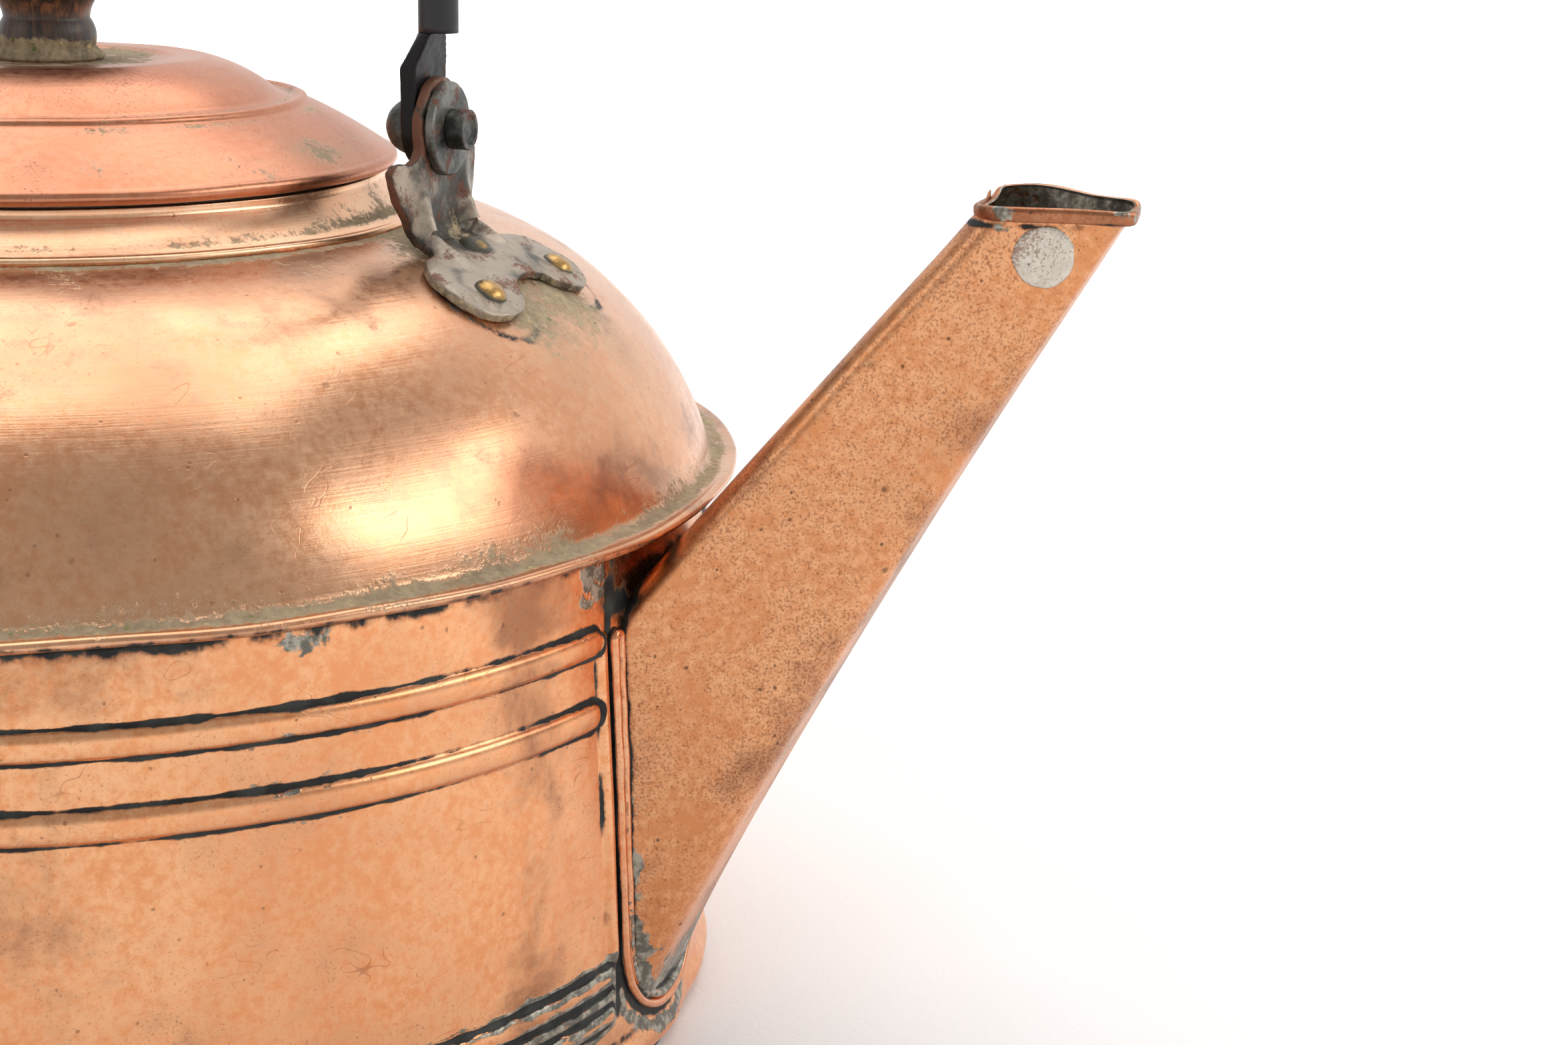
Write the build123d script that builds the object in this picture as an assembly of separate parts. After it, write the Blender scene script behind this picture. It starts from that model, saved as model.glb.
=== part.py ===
from build123d import *
import os
from math import cos, exp, radians, sin, sqrt

# Copper stove kettle, millimetres. The origin is the centre of the underside, +Z is up, the spout
# points along +X, and the bail handle stands in the XZ plane with its hinge line along X.

# Sheet and overall sizes
sheet = 0.8                      # copper sheet of body, dome, lid and spout
body_radius = 115.0              # outside of the straight wall
shoulder_height = 99.0           # top of the rim where wall and dome are joined
rim_radius = 120.0               # outer edge of that rim
rim_drop = 1.6                   # how far the dome's edge is folded down over the wall's edge
base_thickness = 1.2
foot_radius = 116.3              # widest point of the rolled foot
foot_bulge_z = 4.2
foot_top = 9.0                   # above this the wall is straight
foot_inset = 0.8                 # the foot turns in by this much to hold the base plate

# Dome: a quarter round turned about the kettle's axis
dome_arc_radius = 56.3
dome_arc_centre_r = 60.7
dome_arc_centre_z = shoulder_height - 14.8
dome_top = dome_arc_centre_z + dome_arc_radius
dome_cove = 1.5                  # where the dome turns out into the rim
mouth_radius = 56.4              # filling opening in the dome

# Neck collar and lid
collar_foot_radius = 63.6
collar_wall_radius = 57.0
collar_top = shoulder_height + 49.2
collar_foot_height = 0.9
collar_waist_height = 5.0        # the hollow foot of the collar rises this far
lid_rim_wire = 1.25              # radius of the lid's rolled edge
lid_rim_radius = 59.2            # outside of the rolled edge
lid_rim_z = shoulder_height + 50.9
lid_bead_radius = 42.7
lid_bead_wire = 0.9
lid_bead_z = shoulder_height + 60.2
lid_crown_radius = 27.0
lid_crown_z = shoulder_height + 67.4
knob_recess_radius = 19.5
knob_recess_depth = 0.6
bezel_radius = 55.6
bezel_bottom = shoulder_height + 43.4

# Knob and its screw
knob_foot_radius = 9.5
knob_neck_radius = 7.1
knob_head_radius = 17.6
knob_height = 30.5
screw_radius = 1.6
screw_length_in_knob = 17.0
screw_head_radius = 3.4
screw_head_height = 1.8
washer_radius = 7.0
washer_thickness = 0.9

# Spout: flat sides that narrow outwards and upwards between a straight upper edge and a lower edge
spout_top = shoulder_height + 54.0
spout_foot = 11.0                # lowest point of the spout on the wall
upper_edge_x = 113.0             # upper edge at the height upper_edge_z
upper_edge_z = 87.0
upper_edge_slope = 0.806         # outward run per unit of height
lower_edge_x = 108.2             # lower edge, as a shallow parabola in the height
lower_edge_slope = 0.46
lower_edge_curve = 0.00045
lower_edge_flare = 1.8           # the lower edge kicks out where it meets the wall
lower_edge_flare_length = 8.0
side_half_width = 44.8           # half width of the sides' planes at x = 0, z = 0
side_narrowing_x = 0.282
side_widening_z = 0.083
upper_corner_radius = 4.5
lower_corner_radius = 2.8
corner_growth = 0.035            # the lower corners get rounder towards the wall
spout_heights = (spout_foot, 16.0, 26.0, 45.0, 65.0, 85.0, 105.0, 125.0, 140.0, spout_top)
mouth_band_height = 2.2
mouth_band_width = 1.1
patch_radius = 4.7
patch_thickness = 0.45
patch_x = 176.5
patch_z = 145.8

# Outline of the spout's seat on the wall, seen along X
seat_top = 82.0
seat_top_half_width = 20.3
seat_side_z = 27.0
seat_side_half_width = 15.4
seat_margins = ((0.5, 1.2), (1.1, 0.5), (2.8, 1.3))    # (distance outwards, height off the wall)

# Ribs pressed into the wall: (lower edge, upper edge), and how far they stand out
shoulder_ribs = ((79.7, 84.7), (67.3, 72.6))
base_ribs = ((20.2, 24.6), (17.3, 20.2), (13.2, 17.3))
rib_height = 1.1
shoulder_rib_end = 12.8          # degrees either side of the spout where the ribs stop
base_rib_end = 10.2
upright_rib_radius = 1.9
upright_rib_sink = 0.9
upright_rib_gap = 5.1            # from the seat's outline to the middle of the rib

# Ears, seen from the pin: plate at right angles to X
pin_z = shoulder_height + 59.3
ear_inner_x = 72.0
ear_thickness = 1.8
ear_foot_thickness = 1.6
ear_foot_half_width = 10.5
ear_horn_half_width = 15.8
ear_horn_drop = 4.6              # the horns' tops lie this far below the pin
ear_eye_radius = 8.4
lobe_centre = (86.6, 13.6)
lobe_radius = 8.6
ear_notch_x = 90.2
ear_rib_radius = 1.7
ear_rib_side = 8.0               # the ribs start this far either side of the pin, on the plate
ear_rib_end_side = 10.5          # and end this far out, on the lobes
ear_rib_run = 8.0                # outward run from plate to lobe
ear_neck_share = 0.92            # half width of the neck below the eye, of the eye's radius
rivets = ((78.9, 0.0), (87.6, 14.2), (87.6, -14.2))
rivet_shank_radius = 1.4
rivet_head_radius = 2.7
rivet_head_height = 1.7
rivet_tail_radius = 2.3
rivet_tail_height = 0.9

# Pivot pins, washers and the bail
pin_radius = 2.9
pin_end_radius = 3.35
pin_head_radius = 4.7
pin_end_length = 3.2
pin_dimple_depth = 0.5
pin_dimple_share = 0.72          # of the end's radius
pivot_washer_radius = 7.7
pivot_washer_thickness = 1.7
pivot_washer_chamfer = 0.35
lug_thickness = 2.8
lug_gap = 0.25                   # side play between lug, ear and pin head
lug_half_width = 6.2
lug_hole_play = 0.08
bail_tube_radius = 3.3
bail_tube_wall = 1.0
bail_leg_x = 73.1
bail_tube_start = 15.5           # above the pin
lug_flat_end = 10.0              # above the pin; from here the lug narrows to the tube
bail_tenon_length = 14.0
bail_rise = 131.0                # middle of the tube above the pin, at the top
bail_corner_radius = 50.0


def turned(*outline):
    """A closed section, drawn as radius and height, turned about the kettle's axis."""
    return revolve(Plane.XZ * make_face(Curve(children=outline)), Axis.Z)


def turned_sheet(*path, thickness=sheet):
    """Sheet metal turned about the axis: the path is its outer face, followed from outside to inside."""
    section = Wire(path).offset_2d(thickness, side=Side.LEFT, kind=Kind.INTERSECTION)
    return revolve(Plane.XZ * Face(section), Axis.Z)


def pressed_sheet(*path, drop):
    """A gently sloping sheet turned about the axis: the path is its upper face, drop its thickness."""
    start = path[0] @ 0
    end = path[-1] @ 1
    down = Vector(0, -drop)
    lower = [Pos(down) * edge for edge in path]
    return turned(*path, *lower, Line(start, start + down), Line(end, end + down))


def disc(radius, low, high):
    return Pos(0, 0, low) * Cylinder(radius, high - low, align=(Align.CENTER, Align.CENTER, Align.MIN))


def rod(start, direction, length, radius):
    """A round rod from a start point along a direction."""
    return extrude(Plane(origin=start, z_dir=direction) * Circle(radius), length)


def chain(*points):
    """Straight lines from point to point, as a list of edges."""
    return [Line(a, b) for a, b in zip(points, points[1:])]


def save(name, shape):
    """Write one node; the shape's solids are what the node holds."""
    solids = shape.solids()
    export_step(solids[0] if len(solids) == 1 else Compound(children=solids), f"parts/{name}.step")
    print(name, len(solids), round(sum(solid.volume for solid in solids), 1))


# ---------------------------------------------------------------- spout

def side_at(x, z):
    """Half width of the spout's side planes at a place along the spout."""
    return side_half_width - side_narrowing_x * x + side_widening_z * z


def spout_section(z, inset):
    """Level section of the spout: a tapered outline with rounded corners, moved in by the inset."""
    rise = z - upper_edge_z
    upper = upper_edge_x + upper_edge_slope * rise + inset
    flare = lower_edge_flare * exp(-(z - spout_foot) / lower_edge_flare_length)
    lower = lower_edge_x + lower_edge_slope * z + lower_edge_curve * z * z + flare - inset
    slant = inset * sqrt(1 + side_narrowing_x ** 2)
    near = side_at(upper, z) - slant
    far = side_at(lower, z) - slant
    upper_corner = upper_corner_radius - inset
    lower_corner = lower_corner_radius + corner_growth * (spout_top - z) - inset
    corners = ((upper, -near), (lower, -far), (lower, far), (upper, near))
    radii = (upper_corner, lower_corner, lower_corner, upper_corner)
    return Pos(0, 0, z) * make_face(FilletPolyline(*corners, radius=radii, close=True))


def spout_form(inset, heights=spout_heights):
    """The spout as a solid block, running on into the body."""
    return loft([spout_section(z, inset) for z in heights], ruled=True)


def seat_outline(margin):
    """Outline of the spout's seat on the wall, grown by a margin, as a block along X."""
    top = seat_top_half_width + margin
    side = seat_side_half_width + margin
    outline = [
        *chain((-side, seat_side_z), (-top, seat_top), (top, seat_top), (side, seat_side_z)),
        ThreePointArc((side, seat_side_z), (0, seat_side_z - side), (-side, seat_side_z)),
    ]
    return extrude(Plane.YZ * make_face(outline), foot_radius + 10)


def spout_shell():
    bore_heights = (*spout_heights[:-1], spout_top + 1)
    shell = spout_form(0) - spout_form(sheet, bore_heights)
    return shell - disc(body_radius, -5, spout_top)


def spout_seat():
    """Soldered strip round the spout's foot: an inner ridge, a groove and an outer ridge."""
    strip = []
    inner = spout_form(0)
    for margin, height in seat_margins:
        shell = disc(body_radius + height, 0, seat_top) - disc(body_radius, 0, seat_top)
        strip.append((seat_outline(margin) & shell) - inner)
        inner = seat_outline(margin)
    return strip[0] + strip[1] + strip[2] - spout_form(0)


def spout_mouth_band():
    heights = (spout_top - mouth_band_height, spout_top)
    return spout_form(-mouth_band_width, heights) - spout_form(0)


def spout_patch():
    """Round tinned patch on one side of the spout."""
    normal = Vector(side_narrowing_x, -1, -side_widening_z).normalized()
    centre = Vector(patch_x, -side_at(patch_x, patch_z), patch_z)
    return rod(centre, normal, patch_thickness, patch_radius)


# ---------------------------------------------------------------- body

def level_rib(low, high, end_angle):
    """A half-round rib around the wall that stops short of the spout on both sides."""
    root = body_radius - sheet / 2
    outline = [
        ThreePointArc((body_radius, low), (body_radius + rib_height, (low + high) / 2), (body_radius, high)),
        *chain((body_radius, high), (root, high), (root, low), (body_radius, low)),
    ]
    section = Plane.XZ * make_face(Curve(children=outline))
    return Rot(0, 0, end_angle) * revolve(section, Axis.Z, revolution_arc=360 - 2 * end_angle)


def on_wall(half_width, z):
    """A point just under the wall's face at a distance sideways from the spout's plane."""
    r = body_radius - upright_rib_sink
    return Vector(sqrt(r * r - half_width * half_width), half_width, z)


def upright_rib(side):
    """The rib beside the spout's seat, where the level ribs end."""
    foot = on_wall(side * (seat_side_half_width + upright_rib_gap), base_ribs[0][1] + 1)
    head = on_wall(side * (seat_top_half_width + upright_rib_gap), shoulder_ribs[0][1] + 2)
    bar = rod(foot, head - foot, (head - foot).length, upright_rib_radius)
    return bar + Pos(foot) * Sphere(upright_rib_radius) + Pos(head) * Sphere(upright_rib_radius)


def body_wall():
    foot = body_radius - foot_inset
    low_rim = shoulder_height - rim_drop
    wall = Rot(0, 0, 180) * turned_sheet(
        Line((foot, 0), (foot, base_thickness)),
        ThreePointArc((foot, base_thickness), (foot_radius, foot_bulge_z), (body_radius, foot_top)),
        *chain((body_radius, foot_top), (body_radius, low_rim - 1), (body_radius + 1, low_rim),
               (rim_radius - sheet, low_rim)),
    )
    inside = disc(body_radius - sheet, 0, low_rim)
    for low, high in shoulder_ribs:
        wall += level_rib(low, high, shoulder_rib_end)
    for low, high in base_ribs:
        wall += level_rib(low, high, base_rib_end)
    for side in (-1, 1):
        wall += upright_rib(side) - inside
    return wall - spout_form(sheet)


def base_plate():
    return disc(body_radius - foot_inset - sheet, 0, base_thickness)


def dome_height(r, lift=0.0):
    """Height of the dome's outer face, or of a face that lies outside it by lift, at radius r."""
    return dome_arc_centre_z + sqrt((dome_arc_radius + lift) ** 2 - (r - dome_arc_centre_r) ** 2)


def dome_radius(z):
    """Radius of the dome's outer face at a height."""
    return dome_arc_centre_r + sqrt(dome_arc_radius ** 2 - (z - dome_arc_centre_z) ** 2)


def shoulder_dome():
    cove_z = shoulder_height + dome_cove
    cove_r = dome_radius(cove_z)
    return turned_sheet(
        *chain((rim_radius, shoulder_height - rim_drop), (rim_radius, shoulder_height),
               (cove_r + dome_cove, shoulder_height), (cove_r, cove_z)),
        ThreePointArc((cove_r, cove_z), (100, dome_height(100)), (dome_arc_centre_r, dome_top)),
        Line((dome_arc_centre_r, dome_top), (mouth_radius, dome_top)),
    )


def neck_collar():
    """Ring soldered round the filling opening; the lid's edge stands over its rim."""
    rim = collar_foot_radius
    wall = collar_wall_radius
    inner = wall - sheet
    waist = dome_top + collar_waist_height
    collar = turned(
        *chain((inner, dome_top - 1), (rim, dome_top - 1), (rim, dome_top + collar_foot_height)),
        ThreePointArc((rim, dome_top + collar_foot_height), (wall + 1.6, dome_top + 1.9), (wall, waist)),
        Line((wall, waist), (wall, collar_top - sheet / 2)),
        ThreePointArc((wall, collar_top - sheet / 2), (wall - sheet / 2, collar_top),
                      (inner, collar_top - sheet / 2)),
        Line((inner, collar_top - sheet / 2), (inner, dome_top - 1)),
    )
    below = turned(
        *chain((mouth_radius - 1, 0), (rim + 1, 0), (rim + 1, dome_height(rim + 1))),
        ThreePointArc((rim + 1, dome_height(rim + 1)), (rim - 1, dome_height(rim - 1)),
                      (dome_arc_centre_r, dome_top)),
        *chain((dome_arc_centre_r, dome_top), (mouth_radius - 1, dome_top), (mouth_radius - 1, 0)),
    )
    return collar - below


# ---------------------------------------------------------------- lid

def lid_shell():
    rim_top = (lid_rim_radius - lid_rim_wire, lid_rim_z + lid_rim_wire)
    shoulder_foot = (38.8, lid_bead_z + 1.2)
    recess_z = lid_crown_z - knob_recess_depth
    shell = pressed_sheet(
        ThreePointArc(rim_top, (51.4, shoulder_height + 56.0), (lid_bead_radius, lid_bead_z)),
        Line((lid_bead_radius, lid_bead_z), shoulder_foot),
        ThreePointArc(shoulder_foot, (33.4, shoulder_height + 65.0), (lid_crown_radius, lid_crown_z)),
        *chain((lid_crown_radius, lid_crown_z), (knob_recess_radius + 1.2, lid_crown_z),
               (knob_recess_radius, recess_z), (screw_radius, recess_z)),
        drop=sheet,
    )
    wire = Pos(0, 0, lid_rim_z) * Torus(lid_rim_radius - lid_rim_wire, lid_rim_wire)
    bead = Pos(0, 0, lid_bead_z + 0.2) * Torus(lid_bead_radius, lid_bead_wire)
    return shell + wire + bead


def lid_bezel(shell):
    """Ring soldered under the lid, which holds it in the opening."""
    tube = disc(bezel_radius, bezel_bottom, lid_bead_z) - disc(bezel_radius - sheet, bezel_bottom, lid_bead_z)
    return (tube - shell).solids().sort_by(Axis.Z)[0]


def lid_knob():
    """Turned wooden knob, bored for its screw."""
    foot = lid_crown_z - knob_recess_depth
    neck = knob_neck_radius
    head = knob_head_radius
    knob = turned(
        *chain((0, foot), (knob_foot_radius, foot), (knob_foot_radius, foot + 1.2), (neck + 0.7, foot + 2.2)),
        ThreePointArc((neck + 0.7, foot + 2.2), (neck + 1.0, foot + 4.7), (neck, foot + 7.0)),
        ThreePointArc((neck, foot + 7.0), (neck + 0.9, foot + 9.8), (12.4, foot + 12.4)),
        ThreePointArc((12.4, foot + 12.4), (head, foot + 19.5), (12.6, foot + 27.0)),
        ThreePointArc((12.6, foot + 27.0), (7.4, foot + 29.7), (1.5, foot + knob_height)),
        *chain((1.5, foot + knob_height), (0, foot + knob_height), (0, foot)),
    )
    return knob - disc(screw_radius, foot - 1, foot + screw_length_in_knob)


def knob_screw():
    under = lid_crown_z - knob_recess_depth - sheet - washer_thickness
    shank = disc(screw_radius, under, lid_crown_z - knob_recess_depth + screw_length_in_knob)
    head = disc(screw_head_radius, under - screw_head_height, under)
    slot = Pos(0, 0, under - screw_head_height) * Box(2 * screw_head_radius, 0.9, 1.4)
    return shank + head - slot


def knob_washer():
    under = lid_crown_z - knob_recess_depth - sheet
    return disc(washer_radius, under - washer_thickness, under) - disc(screw_radius, 0, under)


# ---------------------------------------------------------------- ears and rivets

def dome_shell(low, high):
    """The space between two faces that lie outside the dome by low and high, turned about the axis."""
    start, end = 66.0, 100.0
    middle = (start + end) / 2
    return turned(
        ThreePointArc((start, dome_height(start, low)), (middle, dome_height(middle, low)),
                      (end, dome_height(end, low))),
        Line((end, dome_height(end, low)), (end, dome_height(end, high))),
        ThreePointArc((end, dome_height(end, high)), (middle, dome_height(middle, high)),
                      (start, dome_height(start, high))),
        Line((start, dome_height(start, high)), (start, dome_height(start, low))),
    )


def ear_foot():
    """Clover-shaped foot, bent to the dome."""
    x, y = lobe_centre
    outline = make_hull(chain(*[(ear_inner_x, -ear_foot_half_width), (ear_inner_x, ear_foot_half_width),
                                (lobe_centre[0] + 3, lobe_centre[1] - 3), (ear_notch_x, 0),
                                (lobe_centre[0] + 3, 3 - lobe_centre[1])]))
    for side in (-1, 1):
        lobe = Pos(x, side * y) * Circle(lobe_radius)
        outline += lobe
        outline += make_hull((Pos(x, side * y) * Circle(lobe_radius)).edges()
                             + (Pos(ear_inner_x + 5, side * (ear_foot_half_width - 5)) * Circle(5)).edges())
    prism = Pos(0, 0, dome_arc_centre_z) * extrude(outline, 2 * dome_arc_radius)
    return prism & dome_shell(0, ear_foot_thickness)


def ear_upright():
    """Upright plate with two horns that stop the bail, and a round eye for the pin."""
    horn_z = pin_z - ear_horn_drop
    neck = ear_eye_radius * ear_neck_share
    half = [
        (ear_foot_half_width, dome_height(ear_inner_x) - 2),
        (ear_foot_half_width, dome_height(ear_inner_x) + 2),
        (ear_horn_half_width + 0.4, horn_z - 1.2),
        (ear_horn_half_width - 0.6, horn_z),
        (neck + 3.2, horn_z - 0.3),
        (neck, horn_z + 1.6),
        (neck, pin_z),
    ]
    other = [(-y, z) for y, z in reversed(half)]
    outline = make_face(chain(*half, *other, half[0])) + Pos(0, pin_z) * Circle(ear_eye_radius)
    plate = Pos(ear_inner_x, 0, 0) * extrude(Plane.YZ * outline, ear_thickness)
    return plate - dome_shell(-6, 0)


def ear_rib(side):
    """Stiffening rib from the horn's root down on to a lobe."""
    face = ear_inner_x + ear_thickness + 0.2
    top = Vector(face, side * ear_rib_side, pin_z - 9.0)
    bend = Vector(face + 1.6, side * (ear_rib_side - 0.4), dome_height(face) + 5.0)
    end = Vector(face + ear_rib_run, side * ear_rib_end_side, dome_height(face + ear_rib_run, 0.6))
    path = Spline(top, bend, end)
    section = Plane(origin=top, z_dir=path % 0) * Circle(ear_rib_radius)
    return sweep(section, path=path) + Pos(top) * Sphere(ear_rib_radius)


def rivet_frame(x, y):
    """Frame on the dome's outer face under a rivet, its Z along the dome's normal."""
    r = sqrt(x * x + y * y)
    out = (r - dome_arc_centre_r) / dome_arc_radius
    normal = Vector(out * x / r, out * y / r, sqrt(1 - out * out))
    return Plane(origin=(x, y, dome_height(r)), z_dir=normal)


def rivet_shank(x, y, play=0.0):
    low = -sheet - rivet_tail_height / 2
    high = ear_foot_thickness + 0.3
    return rivet_frame(x, y).offset(low) * extrude(Circle(rivet_shank_radius + play), high - low)


def rivet(x, y, foot):
    """Round-headed brass rivet, hammered flat inside the dome."""
    cap_radius = (rivet_head_radius ** 2 + rivet_head_height ** 2) / (2 * rivet_head_height)
    seat = rivet_frame(x, y).offset(ear_foot_thickness - 0.2)
    cap = seat.offset(rivet_head_height - cap_radius) * Sphere(cap_radius)
    keep = seat * extrude(Circle(rivet_head_radius + 1), rivet_head_height + 1)
    tail = rivet_frame(x, y).offset(-sheet - rivet_tail_height) * extrude(Circle(rivet_tail_radius),
                                                                          rivet_tail_height)
    return ((cap & keep) + rivet_shank(x, y) + tail) - foot


def ear():
    foot = ear_foot()
    for x, y in rivets:
        foot -= rivet_shank(x, y)
    upright = ear_upright() - rod(Vector(0, 0, pin_z), Vector(1, 0, 0), 2 * ear_inner_x, pin_radius)
    ribs = (ear_rib(-1) + ear_rib(1)) - dome_shell(-6, 0.2)
    return foot + upright + ribs


# ---------------------------------------------------------------- pivots and bail

def pivot_pin():
    """Pin through ear, washer and bail lug, with a round head on the lid's side."""
    head_x = ear_inner_x - lug_thickness - 2 * lug_gap
    end_x = ear_inner_x + ear_thickness + pivot_washer_thickness
    along = Vector(1, 0, 0)
    shank = rod(Vector(head_x - 1, 0, pin_z), along, end_x - head_x + 1, pin_radius)
    head = Pos(head_x, 0, pin_z) * Sphere(pin_head_radius)
    head -= rod(Vector(head_x, 0, pin_z), along, pin_head_radius + 1, pin_head_radius + 1)
    end = rod(Vector(end_x, 0, pin_z), along, pin_end_length, pin_end_radius)
    dimple = rod(Vector(end_x + pin_end_length - pin_dimple_depth, 0, pin_z), along, 1,
                 pin_end_radius * pin_dimple_share)
    return shank + head + (end - dimple)


def pivot_washer():
    """Thick washer with chamfered edges."""
    x = ear_inner_x + ear_thickness
    along = Vector(1, 0, 0)
    washer = rod(Vector(x, 0, pin_z), along, pivot_washer_thickness, pivot_washer_radius)
    washer = chamfer(washer.edges().filter_by(GeomType.CIRCLE), pivot_washer_chamfer)
    return washer - rod(Vector(x - 1, 0, pin_z), along, pivot_washer_thickness + 2, pin_radius)


def bail_lug():
    """Flat end of the bail, which narrows and runs into the tube."""
    back = ear_inner_x - lug_gap - lug_thickness
    front = back + lug_thickness
    flat_top = pin_z + lug_flat_end
    tube_end = pin_z + bail_tube_start
    half = lug_half_width
    strap = Pos(back, 0, pin_z + (flat_top - pin_z) / 2) * Box(
        lug_thickness, 2 * half, flat_top - pin_z, align=(Align.MIN, Align.CENTER, Align.CENTER))
    eye = rod(Vector(back, 0, pin_z), Vector(1, 0, 0), lug_thickness, half)
    flat = make_face(chain((front, -half), (front, half), (back, half), (back, -half), (front, -half)))
    c = bail_leg_x
    r = bail_tube_radius
    d = r * sin(radians(45))
    round_end = make_face([
        Line((c, -r), (c, r)),
        ThreePointArc((c, r), (c - r * sin(radians(22.5)), r * cos(radians(22.5))), (c - d, d)),
        ThreePointArc((c - d, d), (c - r, 0), (c - d, -d)),
        ThreePointArc((c - d, -d), (c - r * sin(radians(22.5)), -r * cos(radians(22.5))), (c, -r)),
    ])
    neck = loft([Pos(0, 0, flat_top) * flat, Pos(0, 0, tube_end) * round_end], ruled=True)
    tenon = Pos(c, 0, tube_end) * Cylinder(r - bail_tube_wall, bail_tenon_length,
                                           align=(Align.CENTER, Align.CENTER, Align.MIN))
    lug = strap + eye + neck + tenon
    hole = rod(Vector(back - 1, 0, pin_z), Vector(1, 0, 0), lug_thickness + 2, pin_radius + lug_hole_play)
    return lug - hole


def bail_tube():
    """Round tube bent to an arch over the lid."""
    x = bail_leg_x
    top = pin_z + bail_rise
    low = pin_z + bail_tube_start
    path = FilletPolyline((-x, low), (-x, top), (x, top), (x, low), radius=bail_corner_radius)
    path = Plane.XZ * path
    start = Plane(origin=(-x, 0, low), z_dir=(0, 0, 1))
    section = start * (Circle(bail_tube_radius) - Circle(bail_tube_radius - bail_tube_wall))
    return sweep(section, path=path)


# ---------------------------------------------------------------- writing the nodes

os.makedirs("parts", exist_ok=True)
dome = shoulder_dome()
for x, y in rivets:
    for turn in (0, 180):
        dome -= Rot(0, 0, turn) * rivet_shank(x, y)
lid = lid_shell()
front_ear = ear()
front_rivets = [rivet(x, y, front_ear) - dome for x, y in rivets]

save("body_wall", body_wall())
save("base_plate", base_plate())
save("shoulder_dome", dome)
save("neck_collar", neck_collar())
save("spout_shell", spout_shell())
save("spout_seat", spout_seat())
save("spout_mouth_band", spout_mouth_band())
save("spout_patch", spout_patch())
save("lid_shell", lid)
save("lid_bezel", lid_bezel(lid))
save("lid_knob", lid_knob())
save("knob_screw", knob_screw())
save("knob_washer", knob_washer())
save("bail_tube", bail_tube())
for place, turn in (("front", 0), ("rear", 180)):
    save(f"ear_{place}", Rot(0, 0, turn) * front_ear)
    save(f"ear_rivets_{place}", Rot(0, 0, turn) * Compound(children=[r.solid() for r in front_rivets]))
    save(f"pivot_pin_{place}", Rot(0, 0, turn) * pivot_pin())
    save(f"pivot_washer_{place}", Rot(0, 0, turn) * pivot_washer())
    save(f"bail_lug_{place}", Rot(0, 0, turn) * bail_lug())
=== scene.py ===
import math

import bpy
import numpy as np
from mathutils import Matrix, Vector


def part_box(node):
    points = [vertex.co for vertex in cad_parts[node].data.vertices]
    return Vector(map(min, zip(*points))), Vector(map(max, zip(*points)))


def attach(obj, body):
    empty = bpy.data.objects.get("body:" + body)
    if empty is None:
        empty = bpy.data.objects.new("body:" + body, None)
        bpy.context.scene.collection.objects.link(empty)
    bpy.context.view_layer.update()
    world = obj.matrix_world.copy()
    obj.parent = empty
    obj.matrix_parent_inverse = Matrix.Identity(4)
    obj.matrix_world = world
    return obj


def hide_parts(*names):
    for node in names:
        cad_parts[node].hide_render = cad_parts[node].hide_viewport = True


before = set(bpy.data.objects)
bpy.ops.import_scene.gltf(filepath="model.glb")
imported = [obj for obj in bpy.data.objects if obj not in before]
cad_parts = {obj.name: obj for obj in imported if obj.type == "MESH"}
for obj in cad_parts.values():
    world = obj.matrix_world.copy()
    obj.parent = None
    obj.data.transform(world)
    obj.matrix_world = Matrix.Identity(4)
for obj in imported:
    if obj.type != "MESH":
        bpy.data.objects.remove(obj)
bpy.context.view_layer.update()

# An old copper stove kettle. Lengths in this script are millimetres until a mesh is made, and angles
# are measured round the kettle's axis from the spout.
mm = 0.001


def node_box(name):
    """Lowest and highest corner of a part of the frame, in millimetres."""
    low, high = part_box(name)
    return np.array(low) / mm, np.array(high) / mm


dome_low, dome_high = node_box("shoulder_dome")
lid_low = node_box("lid_shell")[0]
knob_low = node_box("lid_knob")[0]
spout_high = node_box("spout_shell")[1]
pin_low, pin_high = node_box("pivot_pin_front")
tube_low, tube_high = node_box("bail_tube")

sheet = 0.8
wall_radius = 115.0
rim_radius = dome_high[0]
rim_top = dome_low[2] + 1.6
dome_top = dome_high[2]
dome_arc = 56.3
dome_centre_r = 60.7
dome_centre_z = dome_top - dome_arc
pin_z = (pin_low[2] + pin_high[2]) / 2


# ---------------------------------------------------------------- shapes in numbers

def swell(points, wave, seed, parts=14):
    """Smooth random field of about -1 to 1, whose bumps are about one wave apart."""
    rng = np.random.default_rng(seed)
    ways = rng.normal(size=(parts, 3))
    ways /= np.linalg.norm(ways, axis=1)[:, None]
    ways *= 2 * math.pi / (wave * rng.uniform(0.7, 1.6, parts))[:, None]
    phases = rng.uniform(0, 2 * math.pi, parts)
    return np.sin(points @ ways.T + phases).sum(axis=1) / math.sqrt(parts)


def smooth(value, low, high):
    """0 below low, 1 above high and a soft step between."""
    t = np.clip((value - low) / (high - low), 0, 1)
    return t * t * (3 - 2 * t)


def hill(value, centre, width):
    """1 where the value is at the centre, falling softly to 0 beyond a width either side."""
    return np.exp(-((value - centre) / width) ** 2)


def from_axis(points):
    """Level distance of points from the kettle's axis."""
    return np.hypot(points[:, 0], points[:, 1])


def full_turn(count):
    """Equally spaced angles of one full turn."""
    return np.arange(count) * 2 * math.pi / count


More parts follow.
